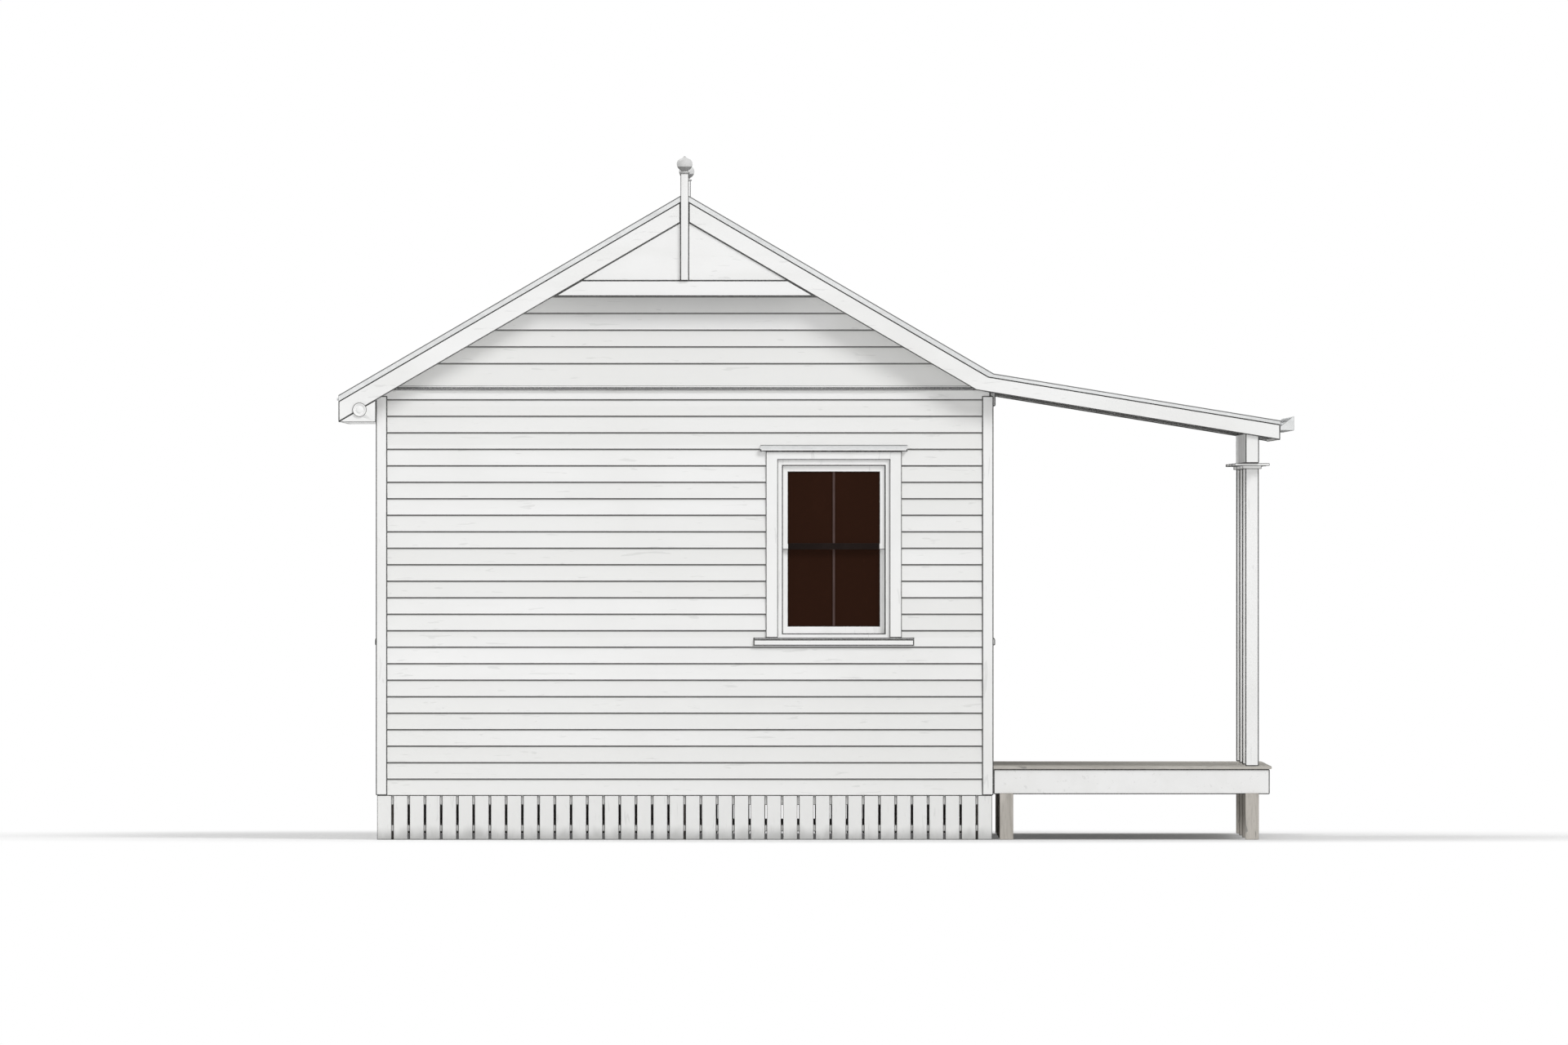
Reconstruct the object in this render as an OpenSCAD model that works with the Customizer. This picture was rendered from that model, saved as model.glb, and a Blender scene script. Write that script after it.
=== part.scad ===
// Small weatherboard cottage on stumps, with a gabled roof and a verandah along its front.
// The origin is on the ground, under the middle of the whole building.
// +X is the verandah side (the front), +Y the right-hand gable end, +Z up.
// The left and right gable ends are alike, and the house is symmetric about the XZ plane.

/* [House body] */
// Width of a gable end over its corner stops
body_w = 4540; // [4400:10:4700]
// Length of the body from gable face to gable face
body_l = 7200; // [6900:20:8000]
// Height of the room floor above the ground
floor_top = 630; // [620:5:660]
// Height of the bottom edge of the weatherboards
skirt_bottom = 325; // [300:5:340]
// Height of the ceiling, where the walls end and the gables begin
gable_base = 3318; // [3300:1:3330]
// Thickness of a framed wall without its boards
wall_t = 110; // [90:5:130]
// How far corner stops stand out from the framed wall
stop_t = 30; // [28:1:36]
// Width of each face of a corner stop
stop_w = 84; // [70:1:100]

/* [Main roof] */
// Slope of the main roof in degrees
roof_pitch = 30.25; // [30:0.25:30.75]
// Height of the top line of the roof at the ridge
ridge_top = 4750; // [4740:5:4780]
// Distance from the rear wall face to the face of the rear fascia
eave_out = 273; // [240:1:300]
// Distance from a gable wall face to the face of its barge boards
verge_out = 200; // [160:5:260]
// Thickness of barge boards
barge_t = 28; // [22:1:36]
// Upright depth from the roof's top line to the lower edge of the barge boards
barge_drop = 198; // [190:1:206]
// Upright depth of the metal capping that shows over the barge boards
capping_drop = 46; // [40:1:52]
// Thickness of the roof covering with its battens
sheet_t = 24; // [20:1:30]

/* [Gable trim] */
// Height of the lower edge of the collar board
collar_bottom = 3993; // [3960:1:4020]
// Depth of the collar board
collar_h = 117; // [100:1:130]
// Width of the king post
king_w = 60; // [50:1:70]
// Height of the top of the king post
king_top = 4893; // [4870:1:4900]
// Diameter of the turned finial on each king post
finial_d = 116; // [100:1:120]
// Height of the turned finial
finial_h = 108; // [100:1:115]

/* [Verandah] */
// Slope of the verandah roof in degrees
verandah_pitch = 9.3; // [8.5:0.1:10]
// Distance from the front wall face to the face of the verandah fascia
verandah_roof_out = 2105; // [2080:5:2140]
// Distance from the front wall face to the edge of the verandah floor
verandah_floor_out = 2045; // [2020:5:2060]
// Height of the verandah floor above the ground
deck_top = 540; // [530:5:560]
// Depth of the board that hides the edge of the verandah floor
edge_board_h = 185; // [160:5:195]
// Side of the square verandah posts
post_w = 100; // [90:1:110]
// Number of verandah posts
post_count = 4; // [3:1:5]
// Distance from the front wall face to the middle of the posts
post_out = 1900; // [1880:5:1915]
// Height of the top of the post capitals
capital_top = 2767; // [2740:1:2790]
// Width of the square plate of a post capital
capital_w = 256; // [200:2:280]
// Depth of a verandah rafter
rafter_h = 98; // [90:1:98]
// Number of verandah rafters
rafter_count = 13; // [11:1:15]
// Depth and width of the verandah gutter
gutter_size = 102; // [95:1:110]
// Height of the bottom of the gutter
gutter_bottom = 3009; // [3000:1:3015]

/* [Windows and door] */
// Width between the architraves of a window
window_w = 822; // [760:2:860]
// Height of the top of a window sill
sill_top = 1485; // [1440:5:1500]
// Height of the lower edge of the head architrave
window_head = 2793; // [2760:1:2800]
// Width of the side architraves
architrave_w = 88; // [75:1:95]
// Distance from the middle of a gable end to the middle of its window
gable_window_x = 1096; // [900:2:1200]
// Distance from the middle of the front wall to the middle of its windows
front_window_y = 2150; // [1900:10:2300]
// Distance from the middle of the rear wall to the middle of its windows
rear_window_y = 1800; // [1600:10:2200]
// Width of the door leaf
door_w = 820; // [760:10:860]
// Height of the door leaf
door_h = 2040; // [1980:10:2040]

/* [Hidden] */

$fn = 48;

// Plan of the house: the gutter front and the rear edge of the roof are equally far from x = 0.
sheet_past_fascia = 12;
total_w = sheet_past_fascia + eave_out + body_w + verandah_roof_out + gutter_size;
x_fascia = sheet_past_fascia - total_w / 2;
x_rear = x_fascia + eave_out;
x_front = x_rear + body_w;
x_ridge = (x_rear + x_front) / 2;
x_gutter = x_front + verandah_roof_out;
x_deck = x_front + verandah_floor_out;
x_post = x_front + post_out;
core_x = body_w / 2 - stop_t;
core_y = body_l / 2 - stop_t;
x_core_front = x_ridge + core_x;
x_core_rear = x_ridge - core_x;
inner_x = core_x - wall_t;
inner_y = core_y - wall_t;
y_barge = body_l / 2 + verge_out;
y_behind_barge = y_barge - barge_t;

// Roof lines. Every roof piece is a band measured straight down from the top line.
rise = tan(roof_pitch);
verandah_rise = tan(verandah_pitch);
sheet_drop = 12;
sheet_under = sheet_drop + sheet_t;
verandah_barge_drop = 144;
verandah_capping_drop = 30;
rafter_under = sheet_under + rafter_h;
function main_z(x) = ridge_top - rise * abs(x - x_ridge);
function verandah_z(x) = main_z(x_front) - verandah_rise * (x - x_front);
function knee_x(main_drop, front_drop) = x_front - (main_drop - front_drop) / (rise - verandah_rise);
function roof_line(main_drop, front_drop) = [
    [x_fascia, main_z(x_fascia) - main_drop],
    [x_ridge, ridge_top - main_drop],
    [knee_x(main_drop, front_drop), main_z(knee_x(main_drop, front_drop)) - main_drop],
    [x_gutter, verandah_z(x_gutter) - front_drop]
];
function reversed(list) = [for (i = [len(list) - 1 : -1 : 0]) list[i]];
box_bottom = main_z(x_fascia) - barge_drop;

// Floors and framing
board_t = 22;
joist_h = 100;
joist_w = 45;
joist_gap = 450;
bearer_h = 100;
bearer_w = 100;
bearer_in = 90;
stump_w = 100;
stump_rows = 5;
bearer_x = [x_core_rear + bearer_in, x_ridge, x_core_front - bearer_in];
bearer_top = floor_top - board_t - joist_h;
base_board_w = 107;
base_gap = 13;
base_board_t = 20;
base_rail_t = 40;
base_rail_h = 50;
base_rail_z = 60;
apron_lap = 70;
deck_bearer_h = 90;
deck_bearer_z = skirt_bottom + 15;
deck_joist_z = deck_bearer_z + deck_bearer_h;
deck_joists = 5;
deck_nosing = 15;
edge_board_t = 28;
x_deck_frame = x_deck - deck_nosing - edge_board_t;
inner_stump_out = 95;

// Trim
soffit_t = 12;
soffit_drop = 150;
fascia_t = 25;
king_t = 46;
king_proud = 18;
apex_panel_t = 12;
apex_panel_in = 16;
collar_in = 4;
rosette_d = 104;
rosette_t = 16;
belt_bottom = gable_base - 15;
belt_h = 30;
belt_half = body_w / 2 - 140;
belt_out = 45;
ridge_wing = 150;
ridge_roll_d = 44;
capping_t = 4;
capping_w = 110;
gutter_t = 4;
capital_t = 20;
plate_h = 100;
plate_w = 45;
plate_bottom = main_z(x_front) - rafter_under - plate_h - 6;

// Windows: depths are measured inwards from the face of the framed wall.
jamb_t = 47;
jamb_show = 33;
frame_out = 10;
sash_w = window_w - 2 * jamb_show;
sash_t = 35;
sash_gap = 2;
upper_sash_in = 20;
lower_sash_in = upper_sash_in + sash_t + sash_gap;
frame_head = window_head - 42;
frame_sill = sill_top + 27;
stile_w = 42;
top_rail_h = 48;
bottom_rail_h = 57;
meeting_rail_h = 45;
meeting_z = frame_sill + 0.52 * (frame_head - frame_sill);
glass_t = 4;
hole_w = sash_w + 2 * jamb_t;
hole_bottom = sill_top - 30;
hole_top = frame_head + 54;
head_architrave_h = 60;
architrave_t = 34;
hood_h = 48;
hood_half = window_w / 2 + architrave_w + 41;
hood_out = 60;
sill_h = 60;
sill_half = window_w / 2 + architrave_w + 91;
sill_out = 46;
window_spots = [
    [0, gable_window_x],
    [2, -gable_window_x],
    [1, -front_window_y],
    [1, front_window_y],
    [3, -rear_window_y],
    [3, rear_window_y]
];

// Door
door_t = 40;
door_jamb_t = 40;
door_gap = 3;
threshold_h = 25;
door_bottom = floor_top + threshold_h + 3;
door_hole_w = door_w + 2 * (door_jamb_t + door_gap);
door_frame_top = door_bottom + door_h + door_gap + door_jamb_t;
door_in = 45;

// A block between two corners
module block(low, high) {
    translate(low)
        cube(high - low);
}

// An outline drawn in the XZ plane and stretched from y0 to y1
module section(y0, y1) {
    translate([0, y1, 0])
        rotate([90, 0, 0])
            linear_extrude(y1 - y0)
                children();
}

// An outline drawn in the YZ plane and stretched from x0 to x1
module end_section(x0, x1) {
    translate([x0, 0, 0])
        rotate([90, 0, 90])
            linear_extrude(x1 - x0)
                children();
}

// The same piece at both gable ends
module both_ends() {
    children();
    mirror([0, 1, 0])
        children();
}

// A piece drawn for a wall whose face looks along -Y, moved to wall 0 left, 1 front, 2 right, 3 rear
module on_wall(side) {
    translate([x_ridge, 0, 0])
        rotate(side * 90)
            translate([0, side % 2 == 0 ? -core_y : -core_x, 0])
                children();
}

// The same piece at every window of these walls
module at_windows(walls = [0, 1, 2, 3]) {
    for (spot = window_spots)
        if (len(search(spot[0], walls)) > 0)
            on_wall(spot[0])
                translate([spot[1], 0, 0])
                    children();
}

// Holes for the windows of one wall
module window_holes(side) {
    for (spot = window_spots)
        if (spot[0] == side)
            on_wall(side)
                translate([spot[1], 0, 0])
                    block([-hole_w / 2, -10, hole_bottom], [hole_w / 2, wall_t + 10, hole_top]);
}

// A band that follows the whole roof line, between two pairs of drops
module roof_ribbon(top_drops, low_drops, y0, y1) {
    section(y0, y1)
        polygon(concat(
            roof_line(top_drops[0], top_drops[1]),
            reversed(roof_line(low_drops[0], low_drops[1]))
        ));
}

// A straight band under one slope, between x0 and x1
module main_band(x0, x1, top_drop, low_drop, y0, y1) {
    section(y0, y1)
        polygon([
            [x0, main_z(x0) - top_drop],
            [x1, main_z(x1) - top_drop],
            [x1, main_z(x1) - low_drop],
            [x0, main_z(x0) - low_drop]
        ]);
}

module verandah_band(x0, x1, top_drop, low_drop, y0, y1) {
    section(y0, y1)
        polygon([
            [x0, verandah_z(x0) - top_drop],
            [x1, verandah_z(x1) - top_drop],
            [x1, verandah_z(x1) - low_drop],
            [x0, verandah_z(x0) - low_drop]
        ]);
}

// ---- Under the house ----

// Three rows under the house, and two rows under the verandah in line with its posts
module stumps() {
    top = bearer_top - bearer_h;
    reach = core_y - bearer_in;
    color("rosybrown") {
        for (x = bearer_x)
            for (row = [0 : stump_rows - 1])
                translate([x, -reach + row * 2 * reach / (stump_rows - 1), top / 2])
                    cube([stump_w, stump_w, top], center = true);
        for (i = [0 : post_count - 1])
            for (x = [x_front + inner_stump_out, x_post])
                translate([x, post_y(i), deck_bearer_z / 2])
                    cube([post_w, post_w, deck_bearer_z], center = true);
    }
}

module floor_bearers() {
    reach = core_y - base_rail_t;
    color("burlywood")
        for (x = bearer_x)
            block([x - bearer_w / 2, -reach, bearer_top - bearer_h], [x + bearer_w / 2, reach, bearer_top]);
}

module floor_joists() {
    count = floor((2 * core_y - joist_w) / joist_gap);
    step = (2 * core_y - joist_w) / count;
    color("burlywood")
        for (i = [0 : count])
            translate([0, -core_y + i * step, 0])
                block([x_core_rear, 0, bearer_top], [x_core_front, joist_w, bearer_top + joist_h]);
}

module floor() {
    color("peru")
        block([x_core_rear, -core_y, floor_top - board_t], [x_core_front, core_y, floor_top]);
}

// A row of upright boards with gaps, nailed to a low rail and to an apron that is fixed to the bearers
module base_panel(half, rail_half) {
    count = round((2 * half + base_gap) / (base_board_w + base_gap));
    step = (2 * half + base_gap) / count;
    for (i = [0 : count - 1])
        translate([-half + i * step, 0, 0])
            block([0, -base_board_t, 0], [step - base_gap, 0, skirt_bottom]);
    block([-rail_half, 0, base_rail_z], [rail_half, base_rail_t, base_rail_z + base_rail_h]);
    block([-rail_half, 0, skirt_bottom - apron_lap], [rail_half, base_rail_t, bearer_top]);
}

module end_base_boards(side) {
    color("ghostwhite")
        on_wall(side)
            base_panel(core_x + base_board_t, core_x - base_rail_t - 5);
}

module long_base_boards(side) {
    color("ghostwhite")
        on_wall(side)
            base_panel(core_y - 1, core_y - base_rail_t - 5);
}

// ---- Walls ----

module end_wall(side) {
    color("white")
        difference() {
            on_wall(side)
                block([-core_x, 0, floor_top], [core_x, wall_t, gable_base]);
            window_holes(side);
        }
}

// The front and rear walls run up to the roof covering.
module front_wall() {
    color("white")
        difference() {
            section(-inner_y, inner_y)
                polygon([
                    [x_core_front - wall_t, floor_top],
                    [x_core_front, floor_top],
                    [x_core_front, main_z(x_core_front) - sheet_under],
                    [x_core_front - wall_t, main_z(x_core_front - wall_t) - sheet_under]
                ]);
            window_holes(1);
            on_wall(1)
                block(
                    [-door_hole_w / 2, -10, floor_top - 10],
                    [door_hole_w / 2, wall_t + 10, door_frame_top]
                );
        }
}

module rear_wall() {
    color("white")
        difference() {
            section(-inner_y, inner_y)
                polygon([
                    [x_core_rear, floor_top],
                    [x_core_rear + wall_t, floor_top],
                    [x_core_rear + wall_t, main_z(x_core_rear + wall_t) - sheet_under],
                    [x_core_rear, main_z(x_core_rear) - sheet_under]
                ]);
            window_holes(3);
        }
}

// The triangles over the end walls, up to the roof covering
module gable_walls() {
    color("white")
        both_ends()
            section(-core_y, -inner_y)
                polygon([
                    [x_core_rear, gable_base],
                    [x_core_front, gable_base],
                    [x_core_front, main_z(x_core_front) - sheet_under],
                    [x_ridge, ridge_top - sheet_under],
                    [x_core_rear, main_z(x_core_rear) - sheet_under]
                ]);
}

module ceiling() {
    color("ivory")
        block(
            [x_ridge - inner_x, -inner_y, gable_base],
            [x_ridge + inner_x, inner_y, gable_base + soffit_t]
        );
}

// ---- Outside trim of the walls ----

module corner_stops() {
    top = main_z(x_front) - soffit_drop - soffit_t - 3;
    color("white")
        for (side_x = [-1, 1])
            for (side_y = [-1, 1])
                translate([x_ridge, 0, skirt_bottom])
                    scale([side_x, side_y, 1])
                        linear_extrude(top - skirt_bottom)
                            polygon([
                                [body_w / 2, body_l / 2],
                                [body_w / 2 - stop_w, body_l / 2],
                                [body_w / 2 - stop_w, core_y],
                                [core_x, core_y],
                                [core_x, body_l / 2 - stop_w],
                                [body_w / 2, body_l / 2 - stop_w]
                            ]);
}

// A moulding with a weathered top that covers the joint between wall and gable
module belt_mouldings() {
    color("white")
        both_ends()
            end_section(x_ridge - belt_half, x_ridge + belt_half)
                polygon([
                    [-core_y, belt_bottom],
                    [-core_y - belt_out, belt_bottom],
                    [-core_y - belt_out, belt_bottom + belt_h * 0.6],
                    [-core_y - belt_out * 0.6, belt_bottom + belt_h],
                    [-core_y, belt_bottom + belt_h]
                ]);
}

// The room that the king post takes at the barge boards
module king_slot(half) {
    block(
        [x_ridge - half, -y_barge - king_proud, ridge_top - 800],
        [x_ridge + half, -y_barge - king_proud + king_t, king_top]
    );
}

module barge_boards() {
    color("white")
        both_ends()
            difference() {
                roof_ribbon(
                    [capping_drop, verandah_capping_drop],
                    [barge_drop, verandah_barge_drop],
                    -y_barge, -y_behind_barge
                );
                king_slot(king_w / 2);
            }
}

module barge_cappings() {
    color("gainsboro")
        both_ends()
            difference() {
                union() {
                    roof_ribbon(
                        [0, 0],
                        [capping_drop, verandah_capping_drop],
                        -y_barge - capping_t, -y_barge
                    );
                    roof_ribbon([0, 0], [sheet_drop, sheet_drop], -y_barge, -y_barge + capping_w);
                }
                king_slot(king_w / 2);
            }
}

// Half the width of the opening between the barge boards at height z
function barge_reach(z) = (ridge_top - barge_drop - z) / rise;

module collar_boards() {
    collar_top = collar_bottom + collar_h;
    color("white")
        both_ends()
            section(-y_barge + collar_in, -y_behind_barge)
                polygon([
                    [x_ridge - barge_reach(collar_bottom), collar_bottom],
                    [x_ridge + barge_reach(collar_bottom), collar_bottom],
                    [x_ridge + barge_reach(collar_top), collar_top],
                    [x_ridge - barge_reach(collar_top), collar_top]
                ]);
}

module apex_panels() {
    low = collar_bottom + collar_h;
    color("white")
        both_ends()
            difference() {
                section(-y_barge + apex_panel_in, -y_barge + apex_panel_in + apex_panel_t)
                    polygon([
                        [x_ridge - barge_reach(low), low],
                        [x_ridge + barge_reach(low), low],
                        [x_ridge, ridge_top - barge_drop]
                    ]);
                king_slot(king_w / 2);
            }
}

// A square post that stands on the collar board, with a cap, a neck and a turned finial
module king_posts() {
    y_back = -y_barge - king_proud + king_t;
    y_middle = y_back - king_t / 2;
    cap_h = 12;
    color("white")
        both_ends() {
            block(
                [x_ridge - king_w / 2, y_back - king_t, collar_bottom + collar_h],
                [x_ridge + king_w / 2, y_back, king_top]
            );
            translate([x_ridge, y_middle, king_top + cap_h / 2])
                cube([king_w + 14, king_t + 14, cap_h], center = true);
            translate([x_ridge, y_middle, king_top + cap_h])
                turned_finial();
        }
}

// An onion-shaped drop: a round belly that is drawn up to a point
module turned_finial() {
    neck_h = 9;
    belly = finial_d / 2;
    belly_z = neck_h + finial_h * 0.46;
    start = -62;
    stop = 40;
    steps = 12;
    rotate_extrude()
        polygon(concat(
            [[0, 0], [belly * 0.36, 0]],
            [for (i = [0 : steps])
                let (a = start + i * (stop - start) / steps)
                [belly * cos(a), belly_z + finial_h * 0.48 * sin(a)]],
            [
                [belly * 0.30, neck_h + finial_h * 0.88],
                [belly * 0.08, neck_h + finial_h],
                [0, neck_h + finial_h]
            ]
        ));
}

// Lining boards under the verges, and under the boxed eave at the rear
module soffits() {
    low_drop = soffit_drop + soffit_t;
    color("white") {
        both_ends() {
            main_band(x_rear, x_ridge, soffit_drop, low_drop, -y_behind_barge, -body_l / 2);
            main_band(x_ridge, x_core_front, soffit_drop, low_drop, -y_behind_barge, -body_l / 2);
        }
        block(
            [x_fascia + fascia_t, -y_behind_barge, box_bottom],
            [x_rear, y_behind_barge, box_bottom + soffit_t]
        );
    }
}

// The end of the boxed eave, with a return towards the wall and a round rosette on its face
module eave_end_panels() {
    rosette_x = x_rear - 118;
    color("white")
        both_ends() {
            section(-y_barge, -y_behind_barge)
                polygon([
                    [x_fascia, box_bottom],
                    [x_rear, box_bottom],
                    [x_rear, main_z(x_rear) - barge_drop]
                ]);
            block([x_rear - soffit_t, -y_behind_barge, box_bottom + soffit_t],
                [x_rear, -body_l / 2, main_z(x_rear) - soffit_drop - soffit_t - 8]);
            translate([rosette_x, -y_barge, main_z(rosette_x) - barge_drop])
                rotate([90, 0, 0])
                    cylinder(d = rosette_d, h = rosette_t);
        }
}

module fascia_boards() {
    color("white") {
        block([x_fascia, -y_behind_barge, box_bottom],
            [x_fascia + fascia_t, y_behind_barge, main_z(x_fascia) - sheet_under]);
        block([x_gutter - fascia_t, -y_behind_barge, verandah_z(x_gutter) - verandah_barge_drop],
            [x_gutter, y_behind_barge, verandah_z(x_gutter) - sheet_under]);
    }
}

// ---- Roofs ----

module rear_roof() {
    x0 = x_fascia - sheet_past_fascia;
    color("lightgray")
        main_band(x0, x_ridge, sheet_drop, sheet_under, -y_behind_barge, y_behind_barge);
}

module front_roof() {
    color("lightgray")
        main_band(x_ridge, x_front, sheet_drop, sheet_under, -y_behind_barge, y_behind_barge);
}

// Two wings and a round roll along the ridge
module ridge_capping() {
    wing_t = 8;
    color("silver")
        section(-y_barge + capping_w, y_barge - capping_w) {
            polygon([
                [x_ridge - ridge_wing, main_z(x_ridge - ridge_wing) - sheet_drop],
                [x_ridge, ridge_top - sheet_drop],
                [x_ridge + ridge_wing, main_z(x_ridge + ridge_wing) - sheet_drop],
                [x_ridge + ridge_wing, main_z(x_ridge + ridge_wing) - sheet_drop + wing_t],
                [x_ridge, ridge_top - sheet_drop + wing_t],
                [x_ridge - ridge_wing, main_z(x_ridge - ridge_wing) - sheet_drop + wing_t]
            ]);
            translate([x_ridge, ridge_top])
                circle(d = ridge_roll_d);
        }
}

// ---- Verandah ----

function post_y(i) = -(body_l - post_w) / 2 + i * (body_l - post_w) / (post_count - 1);

// Bearers run out from the house over the stumps, and joists lie across them.
module verandah_bearers() {
    reach = body_l / 2 - deck_nosing - edge_board_t;
    color("burlywood")
        for (i = [0 : post_count - 1])
            block(
                [x_front + 5, max(post_y(i) - joist_w, -reach), deck_bearer_z],
                [x_deck_frame, min(post_y(i) + joist_w, reach), deck_joist_z]
            );
}

module verandah_joists() {
    low_x = x_front + 5;
    reach = body_l / 2 - deck_nosing - edge_board_t;
    step = (x_deck_frame - low_x - joist_w) / (deck_joists - 1);
    color("burlywood")
        for (i = [0 : deck_joists - 1])
            translate([low_x + i * step, 0, 0])
                block([0, -reach, deck_joist_z], [joist_w, reach, deck_top - board_t]);
}

module verandah_floor() {
    color("darkgray")
        block([x_front, -body_l / 2, deck_top - board_t], [x_deck, body_l / 2, deck_top]);
}

// A board along the front edge of the verandah floor and one round each end
module verandah_edge_boards() {
    low = deck_top - board_t - edge_board_h;
    high = deck_top - board_t;
    reach = body_l / 2 - deck_nosing;
    outer_x = x_deck - deck_nosing;
    color("white") {
        block([outer_x - edge_board_t, -reach, low], [outer_x, reach, high]);
        both_ends()
            block([x_front, -reach, low], [outer_x, -reach + edge_board_t, high]);
    }
}

module verandah_posts() {
    top = capital_top - capital_t;
    color("white")
        for (i = [0 : post_count - 1])
            translate([x_post, post_y(i), (deck_top + top) / 2])
                cube([post_w, post_w, top - deck_top], center = true);
}

// A square plate over each post with a small moulding round the post under it
module post_capitals() {
    mould_h = 22;
    mould_w = post_w + 40;
    color("white")
        for (i = [0 : post_count - 1])
            translate([x_post, post_y(i), capital_top - capital_t]) {
                translate([-capital_w / 2, -capital_w / 2, 0])
                    cube([capital_w, capital_w, capital_t]);
                difference() {
                    translate([-mould_w / 2, -mould_w / 2, -mould_h])
                        cube([mould_w, mould_w, mould_h]);
                    translate([-post_w / 2, -post_w / 2, -mould_h - 1])
                        cube([post_w, post_w, mould_h + 1]);
                }
            }
}

// The beam on the posts, cut to the slope of the rafters, and the plate on the wall
module verandah_beams() {
    x0 = x_post - post_w / 2;
    x1 = x_post + post_w / 2;
    color("white") {
        section(-y_behind_barge, y_behind_barge)
            polygon([
                [x0, capital_top],
                [x1, capital_top],
                [x1, verandah_z(x1) - rafter_under],
                [x0, verandah_z(x0) - rafter_under]
            ]);
        section(-body_l / 2 + stop_w, body_l / 2 - stop_w)
            polygon([
                [x_core_front, plate_bottom],
                [x_core_front + plate_w, plate_bottom],
                [x_core_front + plate_w, verandah_z(x_core_front + plate_w) - rafter_under],
                [x_core_front, verandah_z(x_core_front + plate_w) - rafter_under]
            ]);
    }
}

module verandah_rafters() {
    reach = y_behind_barge - joist_w;
    color("white")
        for (i = [0 : rafter_count - 1])
            translate([0, -reach - joist_w + i * (2 * reach + joist_w) / (rafter_count - 1), 0])
                verandah_band(x_front, x_gutter - fascia_t, sheet_under, rafter_under, 0, joist_w);
}

module verandah_roof() {
    color("lightgray")
        verandah_band(x_front, x_gutter + 20, sheet_drop, sheet_under, -y_behind_barge, y_behind_barge);
}

// An open channel with stopped ends, hung on the front of the verandah fascia
module verandah_gutter() {
    reach = y_barge;
    back_top = verandah_z(x_gutter + 20) - sheet_under - 4;
    color("silver")
        difference() {
            section(-reach, reach)
                polygon([
                    [x_gutter, gutter_bottom],
                    [x_gutter + gutter_size, gutter_bottom],
                    [x_gutter + gutter_size, gutter_bottom + gutter_size],
                    [x_gutter + gutter_size - gutter_t, gutter_bottom + gutter_size],
                    [x_gutter + gutter_t, back_top],
                    [x_gutter, back_top]
                ]);
            section(-reach + gutter_t, reach - gutter_t)
                polygon([
                    [x_gutter + gutter_t, gutter_bottom + gutter_t],
                    [x_gutter + gutter_size - gutter_t, gutter_bottom + gutter_t],
                    [x_gutter + gutter_size - gutter_t, gutter_bottom + gutter_size + 10],
                    [x_gutter + gutter_t, gutter_bottom + gutter_size + 10]
                ]);
        }
}

// ---- Windows ----

module window_frames() {
    color("white")
        at_windows()
            difference() {
                block([-hole_w / 2, -frame_out, hole_bottom], [hole_w / 2, wall_t, hole_top]);
                block([-sash_w / 2, -frame_out - 10, frame_sill], [sash_w / 2, wall_t + 10, frame_head]);
            }
}

// One sash: a ring of two stiles and two rails
module sash(low, high, low_rail, high_rail, depth) {
    difference() {
        block([-sash_w / 2 + 1, depth, low], [sash_w / 2 - 1, depth + sash_t, high]);
        block([-sash_w / 2 + stile_w, depth - 10, low + low_rail],
            [sash_w / 2 - stile_w, depth + sash_t + 10, high - high_rail]);
    }
}

module window_sashes() {
    meeting_low = meeting_z - meeting_rail_h / 2;
    meeting_high = meeting_z + meeting_rail_h / 2;
    color("white")
        at_windows() {
            sash(meeting_low, frame_head, meeting_rail_h, top_rail_h, upper_sash_in);
            sash(frame_sill, meeting_high, bottom_rail_h, meeting_rail_h, lower_sash_in);
        }
}

// One sheet of glass in each sash
module window_glass() {
    half = sash_w / 2 - stile_w;
    upper_y = upper_sash_in + (sash_t - glass_t) / 2;
    lower_y = lower_sash_in + (sash_t - glass_t) / 2;
    color("#2b1911")
        at_windows() {
            block([-half, upper_y, meeting_z + meeting_rail_h / 2],
                [half, upper_y + glass_t, frame_head - top_rail_h]);
            block([-half, lower_y, frame_sill + bottom_rail_h],
                [half, lower_y + glass_t, meeting_z - meeting_rail_h / 2]);
        }
}

module window_architraves() {
    color("white")
        at_windows()
            difference() {
                block([-window_w / 2 - architrave_w, -architrave_t, sill_top],
                    [window_w / 2 + architrave_w, 0, window_head + head_architrave_h]);
                block([-window_w / 2, -architrave_t - 10, sill_top - 10], [window_w / 2, 10, window_head]);
                block([-hole_w / 2, -frame_out, sill_top - 10], [hole_w / 2, 10, hole_top]);
            }
}

// A small board with a weathered top over each gable window, where no roof shelters it
module window_hoods() {
    low = window_head + head_architrave_h;
    color("white")
        at_windows([0, 2])
            end_section(-hood_half, hood_half)
                polygon([
                    [0, low],
                    [-hood_out, low],
                    [-hood_out, low + hood_h * 0.6],
                    [0, low + hood_h]
                ]);
}

module window_sills() {
    color("white")
        at_windows()
            end_section(-sill_half, sill_half)
                polygon([
                    [0, sill_top - sill_h],
                    [-sill_out, sill_top - sill_h],
                    [-sill_out, sill_top - 14],
                    [-architrave_t, sill_top],
                    [0, sill_top]
                ]);
}

// ---- Door ----

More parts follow.
